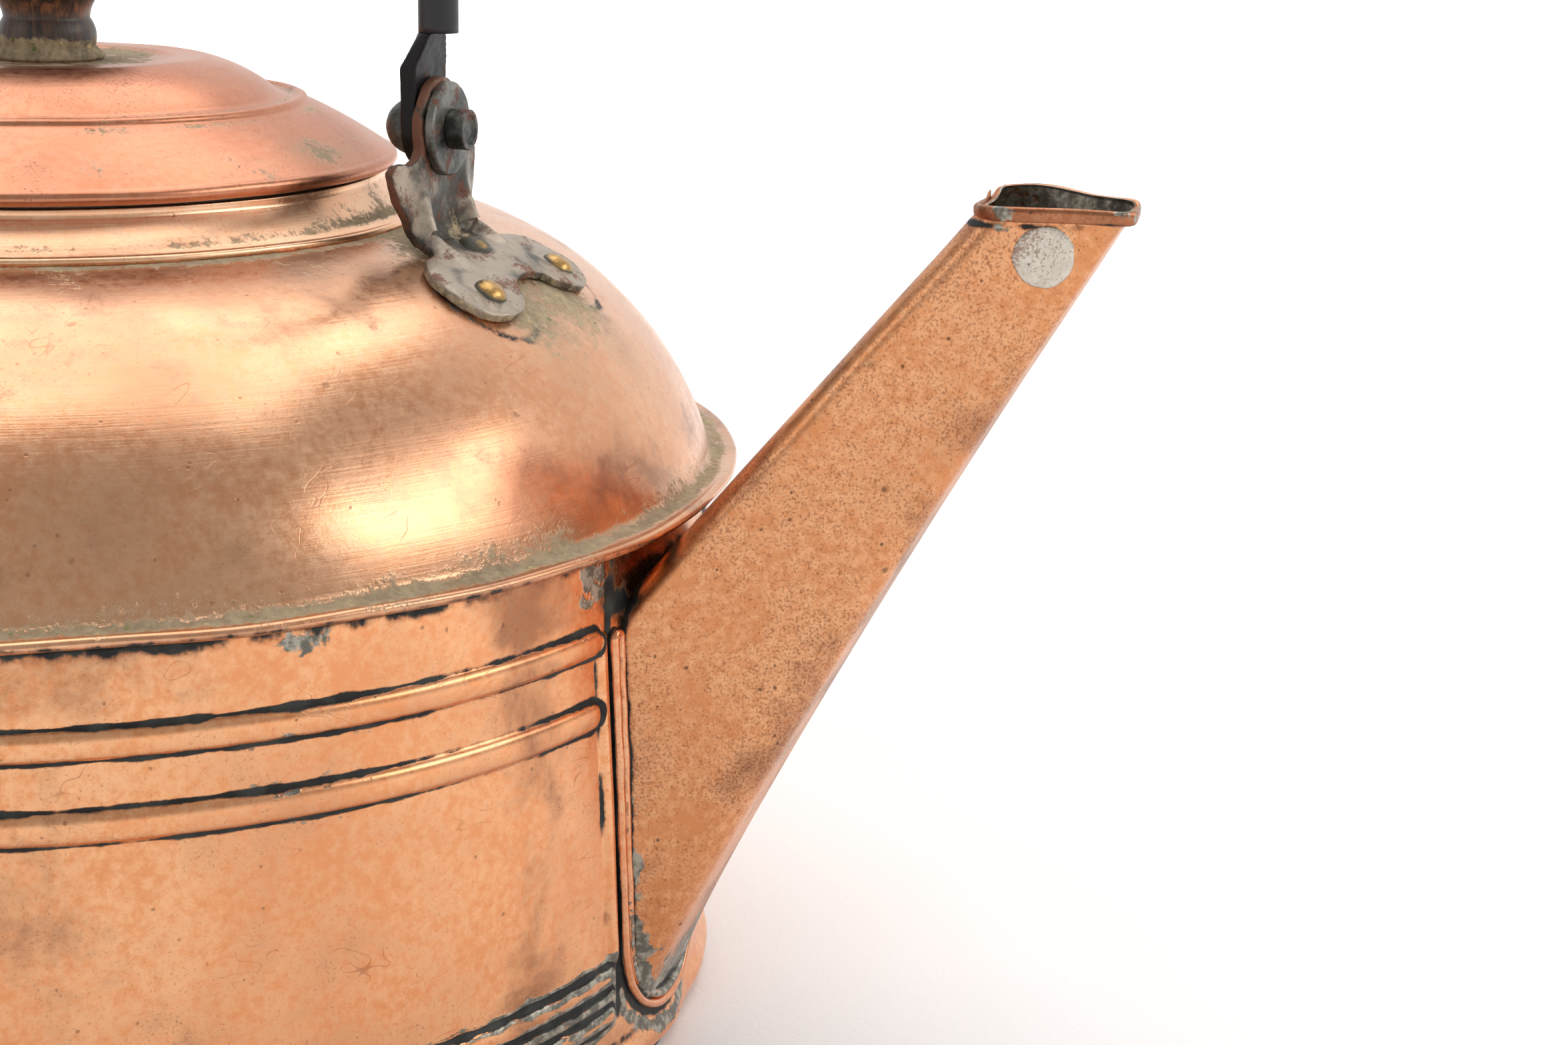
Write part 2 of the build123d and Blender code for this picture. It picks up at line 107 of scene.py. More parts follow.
def arc(centre, radius, start, end, steps):
    """Points of an arc in a profile, angles in degrees from the outward direction."""
    a = np.radians(np.linspace(start, end, steps + 1))
    return np.stack([centre[0] + radius * np.cos(a), centre[1] + radius * np.sin(a)], axis=1)


def bow(a, b, c, steps):
    """Points of the circle's arc from a through b to c."""
    a, b, c = (np.array(p, float) for p in (a, b, c))
    d = 2 * (a[0] * (b[1] - c[1]) + b[0] * (c[1] - a[1]) + c[0] * (a[1] - b[1]))
    squares = [p @ p for p in (a, b, c)]
    x = (squares[0] * (b[1] - c[1]) + squares[1] * (c[1] - a[1]) + squares[2] * (a[1] - b[1])) / d
    y = (squares[0] * (c[0] - b[0]) + squares[1] * (a[0] - c[0]) + squares[2] * (b[0] - a[0])) / d
    centre = np.array([x, y])
    angles = [math.degrees(math.atan2(*(p - centre)[::-1])) for p in (a, b, c)]
    start, middle, end = angles
    sweep = (end - start) % 360
    if (middle - start) % 360 > sweep:
        sweep -= 360
    return arc(centre, np.linalg.norm(a - centre), start, start + sweep, steps)


def fine(points, step):
    """The same broken line with points no more than a step apart."""
    points = np.array(points, float)
    out = [points[:1]]
    for a, b in zip(points, points[1:]):
        count = max(1, int(math.ceil(np.linalg.norm(b - a) / step)))
        out.append(a + (b - a) * (np.arange(1, count + 1) / count)[:, None])
    return np.concatenate(out)


def joined(*runs):
    """Runs of points as one line, without the doubled points where they meet."""
    line = np.concatenate([np.array(run, float) for run in runs])
    keep = np.concatenate([[True], np.linalg.norm(np.diff(line, axis=0), axis=1) > 1e-4])
    return line[keep]


def net(rows, columns, ring_rows, ring_columns):
    """Four-sided faces over a grid of points, row by row."""
    i = np.arange(rows if ring_rows else rows - 1)[:, None]
    j = np.arange(columns if ring_columns else columns - 1)[None, :]
    i2, j2 = (i + 1) % rows, (j + 1) % columns
    corners = [i * columns + j, i2 * columns + j, i2 * columns + j2, i * columns + j2]
    return np.stack([np.broadcast_to(c, (i.size, j.size)).ravel() for c in corners], axis=1)


def outward(points, faces):
    """Faces turned so that a closed skin's normals point out."""
    a, b, c = (points[faces[:, k]] for k in (0, 1, 2))
    volume = np.einsum("ij,ij->i", a, np.cross(b, c)).sum()
    if faces.shape[1] == 4:
        d = points[faces[:, 3]]
        volume += np.einsum("ij,ij->i", a, np.cross(c, d)).sum()
    return faces if volume > 0 else faces[:, ::-1]


def new_object(name, data):
    """An object of the scene made from its mesh, light or camera."""
    made = bpy.data.objects.new(name, data)
    bpy.context.scene.collection.objects.link(made)
    return made


def make_piece(name, points, faces, material, body, replaced=(), masks=None):
    """A mesh piece from points in millimetres, with its finish, riding on a body of the frame."""
    mesh = bpy.data.meshes.new(name)
    mesh.vertices.add(len(points))
    mesh.vertices.foreach_set("co", (np.asarray(points) * mm).astype(np.float32).ravel())
    mesh.loops.add(faces.size)
    mesh.loops.foreach_set("vertex_index", np.ascontiguousarray(faces, np.int32).ravel())
    mesh.polygons.add(len(faces))
    mesh.polygons.foreach_set("loop_start", np.arange(0, faces.size, faces.shape[1], dtype=np.int32))
    mesh.polygons.foreach_set("use_smooth", np.ones(len(faces), bool))
    mesh.update(calc_edges=True)
    mesh.validate()
    for mask, values in (masks or {}).items():
        layer = mesh.attributes.new(mask, "FLOAT", "POINT")
        layer.data.foreach_set("value", np.asarray(values, np.float32).ravel())
    mesh.materials.append(material)
    piece = new_object(name, mesh)
    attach(piece, body)
    if replaced:
        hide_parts(*replaced)
    return piece


def turned(profile, turns, shape=None):
    """Points and faces of a closed profile turned round the axis; shape may move the points."""
    angles = full_turn(turns)
    r, z = profile[:, 0], profile[:, 1]
    points = np.stack([
        np.outer(np.cos(angles), r), np.outer(np.sin(angles), r), np.broadcast_to(z, (turns, len(z)))
    ], axis=2).reshape(-1, 3)
    faces = outward(points, net(turns, len(profile), True, True))
    if shape is not None:
        points = shape(points)
    return points, faces


def swept(path, section, closed, twist_up=(0, 0, 1)):
    """Points and faces of a tube: a section of (sideways, up) offsets carried along a path."""
    count, size = len(path), len(section[0])
    along = np.roll(path, -1, axis=0) - np.roll(path, 1, axis=0)
    if not closed:
        along[0] = path[1] - path[0]
        along[-1] = path[-1] - path[-2]
    along /= np.linalg.norm(along, axis=1)[:, None]
    up = np.array(twist_up, float)
    up = np.broadcast_to(up, path.shape) if up.ndim == 1 else up
    side = np.cross(along, up)
    side /= np.linalg.norm(side, axis=1)[:, None]
    up = np.cross(side, along)
    section = np.broadcast_to(np.asarray(section, float), (count, size, 2))
    points = path[:, None] + side[:, None] * section[..., :1] + up[:, None] * section[..., 1:]
    points = points.reshape(-1, 3)
    faces = net(count, size, closed, True)
    return points, faces


def capped(points, faces, rows, size):
    """A swept tube closed at both ends by a small ring drawn in to a four-sided fan."""
    ends = []
    for row in (0, rows - 1):
        ring = np.arange(row * size, row * size + size)
        fan = [[ring[k], ring[k + 1], ring[size - 2 - k], ring[size - 1 - k]] for k in range(size // 2 - 1)]
        ends.append(np.array(fan) if row == 0 else np.array(fan)[:, ::-1])
    every = np.concatenate([faces, *ends])
    return points, outward(points, every)


def dome_height(r, lift=0.0):
    """Height of the dome's outer face at a radius, or of a face lifted off it."""
    return dome_centre_z + np.sqrt(np.maximum((dome_arc + lift) ** 2 - (r - dome_centre_r) ** 2, 0))


# ---------------------------------------------------------------- node trees

class Bench:
    """Places and joins shader nodes in one tree."""

    def __init__(self, tree):
        self.tree = tree

    def put(self, kind, inputs=None, **settings):
        made = self.tree.nodes.new(kind)
        for key, value in settings.items():
            setattr(made, key, value)
        for key, value in (inputs or {}).items():
            if isinstance(value, bpy.types.NodeSocket):
                self.tree.links.new(value, made.inputs[key])
            elif value is not None:
                made.inputs[key].default_value = value
        return made

    def use(self, group, inputs):
        return self.put("ShaderNodeGroup", inputs, node_tree=group)

    def sum(self, operation, a, b=None, c=None, clamp=False):
        made = self.put("ShaderNodeMath", {0: a, 1: b, 2: c}, operation=operation, use_clamp=clamp)
        return made.outputs[0]

    def sway(self, field, reach, onto):
        """A field of 0 to 1 that moves another value up and down by half its reach."""
        return self.sum("MULTIPLY_ADD", self.sum("SUBTRACT", field, 0.5), reach, onto)

    def give(self, ends, **made):
        """Made sockets linked to a group's outputs or a node's inputs by name."""
        for name, socket in made.items():
            self.tree.links.new(socket, ends[name.replace("_", " ")])

    def step(self, value, low, high, start=0.0, end=1.0):
        """Soft step from start to end while the value goes from low to high."""
        made = self.put("ShaderNodeMapRange", {"Value": value, "From Min": low, "From Max": high,
                                               "To Min": start, "To Max": end},
                        interpolation_type="SMOOTHSTEP", clamp=True)
        return made.outputs["Result"]

    def blend(self, mask, a, b, kind="MIX"):
        made = self.put("ShaderNodeMix", data_type="RGBA", blend_type=kind, clamp_factor=True)
        for key, value in ((0, mask), (6, a), (7, b)):
            if isinstance(value, bpy.types.NodeSocket):
                self.tree.links.new(value, made.inputs[key])
            else:
                made.inputs[key].default_value = value
        return made.outputs[2]

    def noise(self, place, scale, detail=2.0, rough=0.5, twist=0.0):
        made = self.put("ShaderNodeTexNoise", {"Vector": place, "Scale": scale, "Detail": detail,
                                               "Roughness": rough, "Distortion": twist})
        return made.outputs["Fac"]

    def stretch(self, place, scale, turn=(0, 0, 0), shift=(0, 0, 0)):
        made = self.put("ShaderNodeMapping", {"Vector": place, "Scale": scale, "Rotation": turn,
                                              "Location": shift})
        return made.outputs[0]

    def cells(self, place, scale, feature="F1", out="Distance", rand=1.0):
        made = self.put("ShaderNodeTexVoronoi", {"Vector": place, "Scale": scale, "Randomness": rand},
                        feature=feature)
        return made.outputs[out]

    def mask(self, name):
        return self.put("ShaderNodeAttribute", attribute_name=name).outputs["Fac"]


def colour(r, g, b):
    """A colour from its 0 to 255 screen values."""
    def line(v):
        v /= 255
        return v / 12.92 if v <= 0.04045 else ((v + 0.055) / 1.055) ** 2.4
    return (line(r), line(g), line(b), 1.0)


def new_group(name, inputs, outputs):
    """An empty node group with named sockets: (name, kind, default)."""
    tree = bpy.data.node_groups.new(name, "ShaderNodeTree")
    kinds = {"value": "NodeSocketFloat", "colour": "NodeSocketColor", "vector": "NodeSocketVector"}
    for label, kind, default in inputs:
        made = tree.interface.new_socket(name=label, in_out="INPUT", socket_type=kinds[kind])
        if default is not None:
            made.default_value = default
    for label, kind in outputs:
        tree.interface.new_socket(name=label, in_out="OUTPUT", socket_type=kinds[kind])
    bench = Bench(tree)
    return bench, bench.put("NodeGroupInput").outputs, bench.put("NodeGroupOutput").inputs


def pits_group():
    """Scattered small round pits of uneven size."""
    b, given, out = new_group("pits", [("Place", "vector", None), ("Scale", "value", 100.0),
                                       ("Size", "value", 0.2), ("Share", "value", 0.5)],
                              [("Mask", "value")])
    found = b.put("ShaderNodeTexVoronoi", {"Vector": given["Place"], "Scale": given["Scale"]})
    chance = b.put("ShaderNodeSeparateColor", {0: found.outputs["Color"]}).outputs[0]
    keen = b.sum("LESS_THAN", chance, given["Share"])
    wobble = b.noise(given["Place"], 900.0, 2.0)
    size = b.sum("MULTIPLY", given["Size"], b.sum("MULTIPLY_ADD", wobble, 1.6, 0.2))
    near = b.step(b.sum("SUBTRACT", found.outputs["Distance"], size), -0.02, 0.05, 1.0, 0.0)
    b.give(out, Mask=b.sum("MULTIPLY", near, keen))
    return b.tree


def scratches_group():
    """Fine hair scratches in two slanting directions, in broken patches."""
    b, given, out = new_group("scratches", [("Place", "vector", None), ("Scale", "value", 1.0),
                                            ("Width", "value", 0.012)],
                              [("Mask", "value")])
    place = b.put("ShaderNodeVectorMath", {0: given["Place"], "Scale": given["Scale"]},
                  operation="SCALE").outputs[0]
    total = None
    for turn, long, across, shift in (((0.3, 0.5, 0.4), 3, 380, 0.0), ((0.8, -0.6, 1.3), 2, 300, 3.0),
                                      ((-0.5, 0.2, -0.7), 4, 460, 7.0)):
        lines = b.noise(b.stretch(place, (across, long, across), turn, (shift, 0, 0)), 1.0, 0.0)
        thin = b.step(b.sum("ABSOLUTE", b.sum("SUBTRACT", lines, 0.5)), 0.0, given["Width"], 1.0, 0.0)
        patch = b.step(b.noise(b.stretch(place, (75, 75, 75), turn, (shift, 5, 0)), 1.0, 2.0), 0.60, 0.70)
        mark = b.sum("MULTIPLY", thin, patch)
        total = mark if total is None else b.sum("MAXIMUM", total, mark)
    b.give(out, Mask=total)
    return b.tree


def dust_group():
    """Kitchen dust: a grey-brown felt with coarser tan grains and a few green ones."""
    b, given, out = new_group("dust", [("Place", "vector", None), ("Amount", "value", 0.0),
                                       ("Light", "colour", colour(186, 166, 134)),
                                       ("Dark", "colour", colour(122, 110, 86))],
                              [("Colour", "colour"), ("Mask", "value"), ("Height", "value")])
    place = given["Place"]
    felt = b.noise(place, 520.0, 4.0, 0.65)
    cloud = b.noise(place, 85.0, 3.0, 0.6)
    grain = b.noise(place, 1500.0, 2.0, 0.6)
    tone = b.blend(b.step(b.sum("MULTIPLY_ADD", felt, 0.6, b.sum("MULTIPLY", cloud, 0.4)), 0.36, 0.66),
                   given["Dark"], given["Light"])
    seeds = b.cells(place, 620.0, out="Color")
    seed = b.put("ShaderNodeSeparateColor", {0: seeds})
    spot = b.step(b.cells(place, 620.0), 0.22, 0.36, 1.0, 0.0)
    tan = b.sum("MULTIPLY", b.sum("GREATER_THAN", seed.outputs[0], 0.83), spot)
    tone = b.blend(tan, tone, colour(196, 174, 128))
    green = b.sum("MULTIPLY", b.sum("LESS_THAN", seed.outputs[1], 0.05), spot)
    tone = b.blend(green, tone, colour(96, 118, 52))
    ragged = b.sway(felt, 1.1, b.sway(cloud, 1.3, given["Amount"]))
    ragged = b.sway(grain, 0.7, ragged)
    cover = b.step(ragged, 0.44, 0.92)
    cover = b.sum("MULTIPLY", cover, b.step(given["Amount"], 0.02, 0.12))
    lump = b.sum("MULTIPLY_ADD", felt, 0.5, b.sum("MULTIPLY", spot, 0.5))
    b.give(out, Colour=tone, Mask=cover, Height=b.sum("MULTIPLY", lump, cover))
    return b.tree


def copper_group(tools):
    """Old polished copper: bright and tarnished tones, stain and painted shade, speckle, pits, scratches,
    oxide, solder, dust.
    """
    b, given, out = new_group("worn_copper", [
        ("Place", "vector", None),
        ("Bright", "colour", colour(240, 176, 136)), ("Warm", "colour", colour(214, 138, 94)),
        ("Tarnish", "colour", colour(150, 98, 78)), ("Tarnish Amount", "value", 0.4),
        ("Speckle", "value", 0.3), ("Pitting", "value", 0.3), ("Scratch", "value", 0.3),
        ("Polish", "value", 0.24), ("Oxide", "value", 0.0), ("Solder", "value", 0.0),
        ("Dust", "value", 0.0), ("Stain", "value", 0.0)],
        [("Colour", "colour"), ("Metal", "value"), ("Rough", "value"), ("Height", "value")])
    place = given["Place"]
    cloud = b.noise(place, 17.0, 4.0, 0.6, 0.4)
    patch = b.noise(place, 60.0, 4.0, 0.65, 0.3)
    crystal = b.noise(place, 560.0, 3.0, 0.7)
    speck = b.noise(place, 2300.0, 1.0, 0.7)
    base = b.blend(b.step(b.sum("MULTIPLY_ADD", patch, 0.5, b.sum("MULTIPLY", crystal, 0.5)), 0.38, 0.62),
                   given["Warm"], given["Bright"])
    worn = b.sway(cloud, 1.5, given["Tarnish Amount"])
    worn = b.sway(patch, 0.9, worn)
    worn = b.sway(crystal, 0.5, worn)
    worn = b.step(worn, 0.1, 1.0)
    base = b.blend(worn, base, given["Tarnish"])
    dots = b.sway(speck, 1.4, b.sway(patch, 0.8, given["Speckle"]))
    dots = b.step(dots, 0.30, 0.78)
    base = b.blend(b.sum("MULTIPLY", dots, 0.6), base, colour(130, 74, 50))
    # stain and painted shade: where this mask is high the copper darkens towards a deep brown; the wall's
    # painted reflection bands and the spout's painted shade come in through it
    stain = b.step(b.sway(patch, 1.6, given["Stain"]), 0.35, 0.9)
    base = b.blend(b.sum("MULTIPLY", stain, 0.6), base, colour(104, 58, 44))
    marks = b.use(tools["scratches"], {"Place": place, "Width": 0.016})
    mark = b.sum("MULTIPLY", marks.outputs["Mask"], given["Scratch"])
    base = b.blend(b.sum("MULTIPLY", mark, 0.45), base, colour(128, 62, 34))
    holes = []
    for scale, size, share in ((150.0, 0.075, 0.12), (430.0, 0.12, 0.12), (60.0, 0.03, 0.2)):
        dent = b.use(tools["pits"], {"Place": place, "Scale": scale, "Size": size, "Share": share})
        holes.append(dent.outputs["Mask"])
    pit = b.sum("MAXIMUM", holes[0], b.sum("MAXIMUM", holes[1], holes[2]))
    pit = b.sum("MULTIPLY", pit, given["Pitting"])
    base = b.blend(b.sum("MULTIPLY", pit, 0.85), base, colour(52, 40, 36))
    frayed = b.sway(b.noise(place, 330.0, 3.0, 0.6), 0.9, b.sway(patch, 0.6, given["Oxide"]))
    oxide = b.sum("MULTIPLY", b.step(frayed, 0.40, 0.60), b.step(given["Oxide"], 0.03, 0.15))
    black = b.blend(b.step(b.noise(place, 210.0, 3.0), 0.4, 0.66), colour(22, 21, 20), colour(52, 54, 50))
    smear = b.sway(b.noise(place, 240.0, 3.0, 0.7), 1.3, b.sway(cloud, 1.2, given["Solder"]))
    solder = b.sum("MULTIPLY", b.step(smear, 0.46, 0.58), b.step(given["Solder"], 0.03, 0.15))
    grey = b.blend(b.step(b.noise(place, 420.0, 3.0, 0.7), 0.42, 0.62), colour(112, 108, 98),
                   colour(176, 170, 156))
    halo = b.sum("MULTIPLY", b.step(frayed, 0.22, 0.48), b.step(given["Oxide"], 0.03, 0.15))
    base = b.blend(b.sum("MULTIPLY", halo, 0.5), base, colour(120, 66, 44))
    base = b.blend(solder, base, grey)
    base = b.blend(oxide, base, black)
    film = b.use(tools["dust"], {"Place": place, "Amount": given["Dust"]})
    base = b.blend(film.outputs["Mask"], base, film.outputs["Colour"])
    veil = b.sum("MULTIPLY", b.step(given["Dust"], 0.1, 0.8), 0.28)
    base = b.blend(veil, base, colour(170, 150, 120))
    cover = b.sum("MAXIMUM", film.outputs["Mask"], b.sum("MULTIPLY", oxide, 0.85))
    metal = b.sum("SUBTRACT", 1.0, b.sum("MAXIMUM", cover, b.sum("MULTIPLY", veil, 0.8)), clamp=True)
    metal = b.sum("SUBTRACT", metal, b.sum("MULTIPLY", solder, 0.25), clamp=True)
    rough = b.sum("MULTIPLY_ADD", worn, 0.13, given["Polish"])
    rough = b.sway(crystal, 0.16, rough)
    rough = b.sum("MULTIPLY_ADD", dots, 0.15, rough)
    rough = b.sum("MULTIPLY_ADD", mark, 0.15, rough)
    rough = b.sum("MAXIMUM", rough, b.sum("MULTIPLY", oxide, 0.62))
    rough = b.sum("MAXIMUM", rough, b.sum("MULTIPLY", solder, 0.42))
    rough = b.sum("MAXIMUM", rough, b.sum("MULTIPLY", film.outputs["Mask"], 0.95))
    height = b.sum("MULTIPLY", crystal, 0.22)
    height = b.sum("MULTIPLY_ADD", speck, 0.10, height)
    height = b.sum("MULTIPLY_ADD", patch, 0.25, height)
    height = b.sum("SUBTRACT", height, b.sum("MULTIPLY", pit, 0.8))
    height = b.sum("SUBTRACT", height, b.sum("MULTIPLY", mark, 0.25))
    height = b.sum("MULTIPLY_ADD", oxide, b.sum("MULTIPLY", b.noise(place, 800.0, 3.0, 0.7), 1.6), height)
    height = b.sum("MULTIPLY_ADD", solder, 1.0, height)
    height = b.sum("MULTIPLY_ADD", film.outputs["Height"], 3.2, height)
    b.give(out, Colour=base, Metal=metal, Rough=rough, Height=height)
    return b.tree


def iron_group(tools):
    """Old forged iron: grey scale, red-brown rust and dust."""
    b, given, out = new_group("old_iron", [
        ("Place", "vector", None), ("Dark", "colour", colour(62, 60, 57)),
        ("Light", "colour", colour(128, 122, 114)), ("Rust", "colour", colour(112, 66, 46)),
        ("Rust Amount", "value", 0.4), ("Pale", "value", 0.45), ("Dust", "value", 0.0)],
        [("Colour", "colour"), ("Metal", "value"), ("Rough", "value"), ("Height", "value")])
    place = given["Place"]
    broad = b.noise(place, 110.0, 4.0, 0.6, 0.3)
    middle = b.noise(place, 420.0, 4.0, 0.65)
    small = b.noise(place, 1500.0, 3.0, 0.7)
    tone = b.sway(broad, 1.4, b.sway(middle, 0.8, given["Pale"]))
    base = b.blend(b.step(tone, 0.15, 0.8), given["Dark"], given["Light"])
    bloom = b.noise(b.stretch(place, (1, 1, 1), (0, 0, 0), (7, 3, 5)), 240.0, 4.0, 0.7, 0.4)
    rusty = b.sway(bloom, 1.8, b.sway(small, 0.8, given["Rust Amount"]))
    rust = b.step(rusty, 0.42, 0.72)
    base = b.blend(b.sum("MULTIPLY", rust, 0.8), base, given["Rust"])
    film = b.use(tools["dust"], {"Place": place, "Amount": given["Dust"]})
    base = b.blend(film.outputs["Mask"], base, film.outputs["Colour"])
    metal = b.sum("SUBTRACT", 0.75, b.sum("MULTIPLY_ADD", rust, 0.5, film.outputs["Mask"]), clamp=True)
    rough = b.sum("MULTIPLY_ADD", rust, 0.28, b.sum("MULTIPLY_ADD", middle, 0.2, 0.34))
    rough = b.sum("MAXIMUM", rough, b.sum("MULTIPLY", film.outputs["Mask"], 0.95))
    height = b.sum("MULTIPLY_ADD", middle, 0.6, b.sum("MULTIPLY", small, 0.35))
    height = b.sum("MULTIPLY_ADD", rust, 0.5, height)
    height = b.sum("MULTIPLY_ADD", film.outputs["Height"], 2.0, height)
    b.give(out, Colour=base, Metal=metal, Rough=rough, Height=height)
    return b.tree


tools = {"pits": pits_group(), "scratches": scratches_group(), "dust": dust_group()}
tools["copper"] = copper_group(tools)
tools["iron"] = iron_group(tools)


def new_material(name, bump_depth=0.00008, **constants):
    """A material with a principled shader and a bump; returns it with its bench and those nodes."""
    material = bpy.data.materials.new(name)
    material.use_nodes = True
    material.node_tree.nodes.clear()
    b = Bench(material.node_tree)
    shader = b.put("ShaderNodeBsdfPrincipled", constants)
    b.put("ShaderNodeOutputMaterial", {"Surface": shader.outputs[0]})
    bump = b.put("ShaderNodeBump", {"Distance": bump_depth, "Strength": 1.0})
    b.give(shader.inputs, Normal=bump.outputs[0])
    place = b.put("ShaderNodeTexCoord").outputs["Object"]
    return material, b, shader, bump, place


def finish(b, shader, bump, base, metal, rough, height):
    """Colour, metal (None for bare wood), roughness and height put into a material's shader."""
    if metal is not None:
        b.give(shader.inputs, Metallic=metal)
    b.give(shader.inputs, Base_Color=base, Roughness=rough)
    b.give(bump.inputs, Height=height)


def copper(name, masks=(), brushed=None, depth=0.00006, **values):
    """A copper finish from the worn copper group; masks names the mesh's masks that it reads."""
    material, b, shader, bump, place = new_material(name, depth)
    group = b.use(tools["copper"], {"Place": place})
    for key, value in values.items():
        group.inputs[key.replace("_", " ")].default_value = value
    for label in masks:
        source = b.mask(label.lower().replace(" ", "_"))
        base = values.get(label.replace(" ", "_"), None)
        if base is not None:
            source = b.sum("ADD", source, base)
        b.tree.links.new(source, group.inputs[label])
    height = group.outputs["Height"]
    rough = group.outputs["Rough"]
    if brushed:
        lines = b.noise(b.stretch(place, brushed), 1.0, 3.0, 0.6)
        height = b.sum("MULTIPLY_ADD", lines, 0.35, height)
        rough = b.sway(lines, 0.10, rough)
    finish(b, shader, bump, group.outputs["Colour"], group.outputs["Metal"], rough, height)
    return material


def iron(name, masks=(), depth=0.00012, **values):
    """An iron finish from the old iron group."""
    material, b, shader, bump, place = new_material(name, depth)
    group = b.use(tools["iron"], {"Place": place})
    for key, value in values.items():
        group.inputs[key.replace("_", " ")].default_value = value
    for label in masks:
        b.tree.links.new(b.mask(label.lower().replace(" ", "_")), group.inputs[label])
    finish(b, shader, bump, *(group.outputs[k] for k in ("Colour", "Metal", "Rough", "Height")))
    return material


# ---------------------------------------------------------------- finishes

wall_copper = copper("wall_copper", ("Oxide", "Solder", "Stain"), Polish=0.27, Tarnish_Amount=0.22,
                     Speckle=0.16, Pitting=0.5, Scratch=0.8, Bright=colour(252, 192, 144),
                     Warm=colour(232, 156, 106), Tarnish=colour(190, 120, 86))
dome_copper = copper("dome_copper", ("Dust", "Stain", "Oxide"), brushed=(60, 60, 3200), Polish=0.23,
                     Tarnish_Amount=0.4, Speckle=0.14, Pitting=0.35, Scratch=0.6,
                     Bright=colour(246, 194, 154), Warm=colour(228, 164, 122),
                     Tarnish=colour(180, 126, 98))
collar_copper = copper("collar_copper", ("Dust", "Stain"), brushed=(60, 60, 3200), Polish=0.3,
                       Tarnish_Amount=0.1, Speckle=0.16, Pitting=0.3, Scratch=0.2,
                       Bright=colour(252, 208, 170), Warm=colour(244, 186, 146),
                       Tarnish=colour(212, 150, 118))
lid_copper = copper("lid_copper", ("Dust", "Stain", "Oxide"), brushed=(50, 50, 2600), Polish=0.3,
                    Tarnish_Amount=0.25, Speckle=0.2, Pitting=0.2, Scratch=0.4,
                    Bright=colour(214, 152, 120), Warm=colour(196, 128, 96),
                    Tarnish=colour(166, 102, 78))
spout_copper = copper("spout_copper", ("Oxide", "Solder", "Stain", "Dust"), Polish=0.33,
                      Tarnish_Amount=0.18, Speckle=0.36, Pitting=0.8, Scratch=0.5,
                      Bright=colour(240, 178, 132), Warm=colour(216, 144, 96),
                      Tarnish=colour(166, 108, 82), depth=0.00005)
seat_copper = copper("seat_copper", ("Oxide", "Solder"), Polish=0.24, Tarnish_Amount=0.2, Speckle=0.2,
                     Pitting=0.4, Scratch=0.2, Bright=colour(246, 186, 144), Warm=colour(224, 146, 102))
band_copper = copper("band_copper", ("Oxide", "Solder", "Dust"), Polish=0.3, Tarnish_Amount=0.45,
                     Speckle=0.38, Pitting=0.6, Scratch=0.3, Bright=colour(222, 158, 116),
                     Warm=colour(178, 112, 78), Tarnish=colour(118, 76, 60))
base_copper = copper("base_copper", Polish=0.42, Tarnish_Amount=0.75, Speckle=0.45, Pitting=0.9,
                     Scratch=1.0, Tarnish=colour(110, 76, 62), Stain=0.5)
tin_bezel = copper("tinned_bezel", Polish=0.34, Tarnish_Amount=0.5, Speckle=0.3, Pitting=0.8,
                   Scratch=0.8, Bright=colour(196, 190, 178), Warm=colour(168, 158, 142),
                   Tarnish=colour(128, 112, 94))
tin_patch = copper("tin_patch", ("Stain", "Speckle"), Polish=0.42, Tarnish_Amount=0.25, Pitting=1.0,
                   Scratch=0.0, Bright=colour(226, 217, 204), Warm=colour(206, 196, 182),
                   Tarnish=colour(164, 152, 138))
ear_iron = iron("ear_iron", ("Dust", "Rust Amount", "Pale"), Light=colour(172, 158, 142),
                Dark=colour(70, 68, 62), Rust=colour(120, 72, 50))
pivot_iron = iron("pivot_iron", Rust_Amount=0.4, Pale=0.45, Dust=0.1, Light=colour(136, 134, 126),
                  Dark=colour(50, 54, 52))
washer_steel = iron("washer_steel", Rust_Amount=0.3, Pale=0.6)
screw_steel = iron("screw_steel", Rust_Amount=0.35, Pale=0.7)
bail_iron = iron("bail_iron", Rust_Amount=0.2, Pale=0.08, Dark=colour(36, 34, 34),
                 Light=colour(74, 70, 68), Rust=colour(124, 76, 44), depth=0.00009)


def lacquer():
    """Black lacquer on the bail's tube, dull, scuffed and freckled with rust."""
    material, b, shader, bump, place = new_material("black_lacquer", 0.00006)
    shader.inputs["Specular IOR Level"].default_value = 0.5
    broad = b.noise(place, 60.0, 4.0, 0.6)
    small = b.noise(place, 1300.0, 3.0, 0.7)
    base = b.blend(b.step(broad, 0.35, 0.7), colour(30, 29, 31), colour(52, 49, 50))
    freckle = b.use(tools["pits"], {"Place": place, "Scale": 260.0, "Size": 0.2, "Share": 0.16})
    base = b.blend(freckle.outputs["Mask"], base, colour(140, 92, 62))
    hair = b.use(tools["scratches"], {"Place": place})
    base = b.blend(b.sum("MULTIPLY", hair.outputs["Mask"], 0.5), base, colour(96, 90, 88))
    rough = b.sum("MULTIPLY_ADD", small, 0.22, b.sum("MULTIPLY_ADD", broad, 0.15, 0.26))
    height = b.sum("MULTIPLY_ADD", small, 0.6, freckle.outputs["Mask"])
    metal = b.sum("MULTIPLY", broad, 0.1)
    finish(b, shader, bump, base, metal, rough, height)
    return material


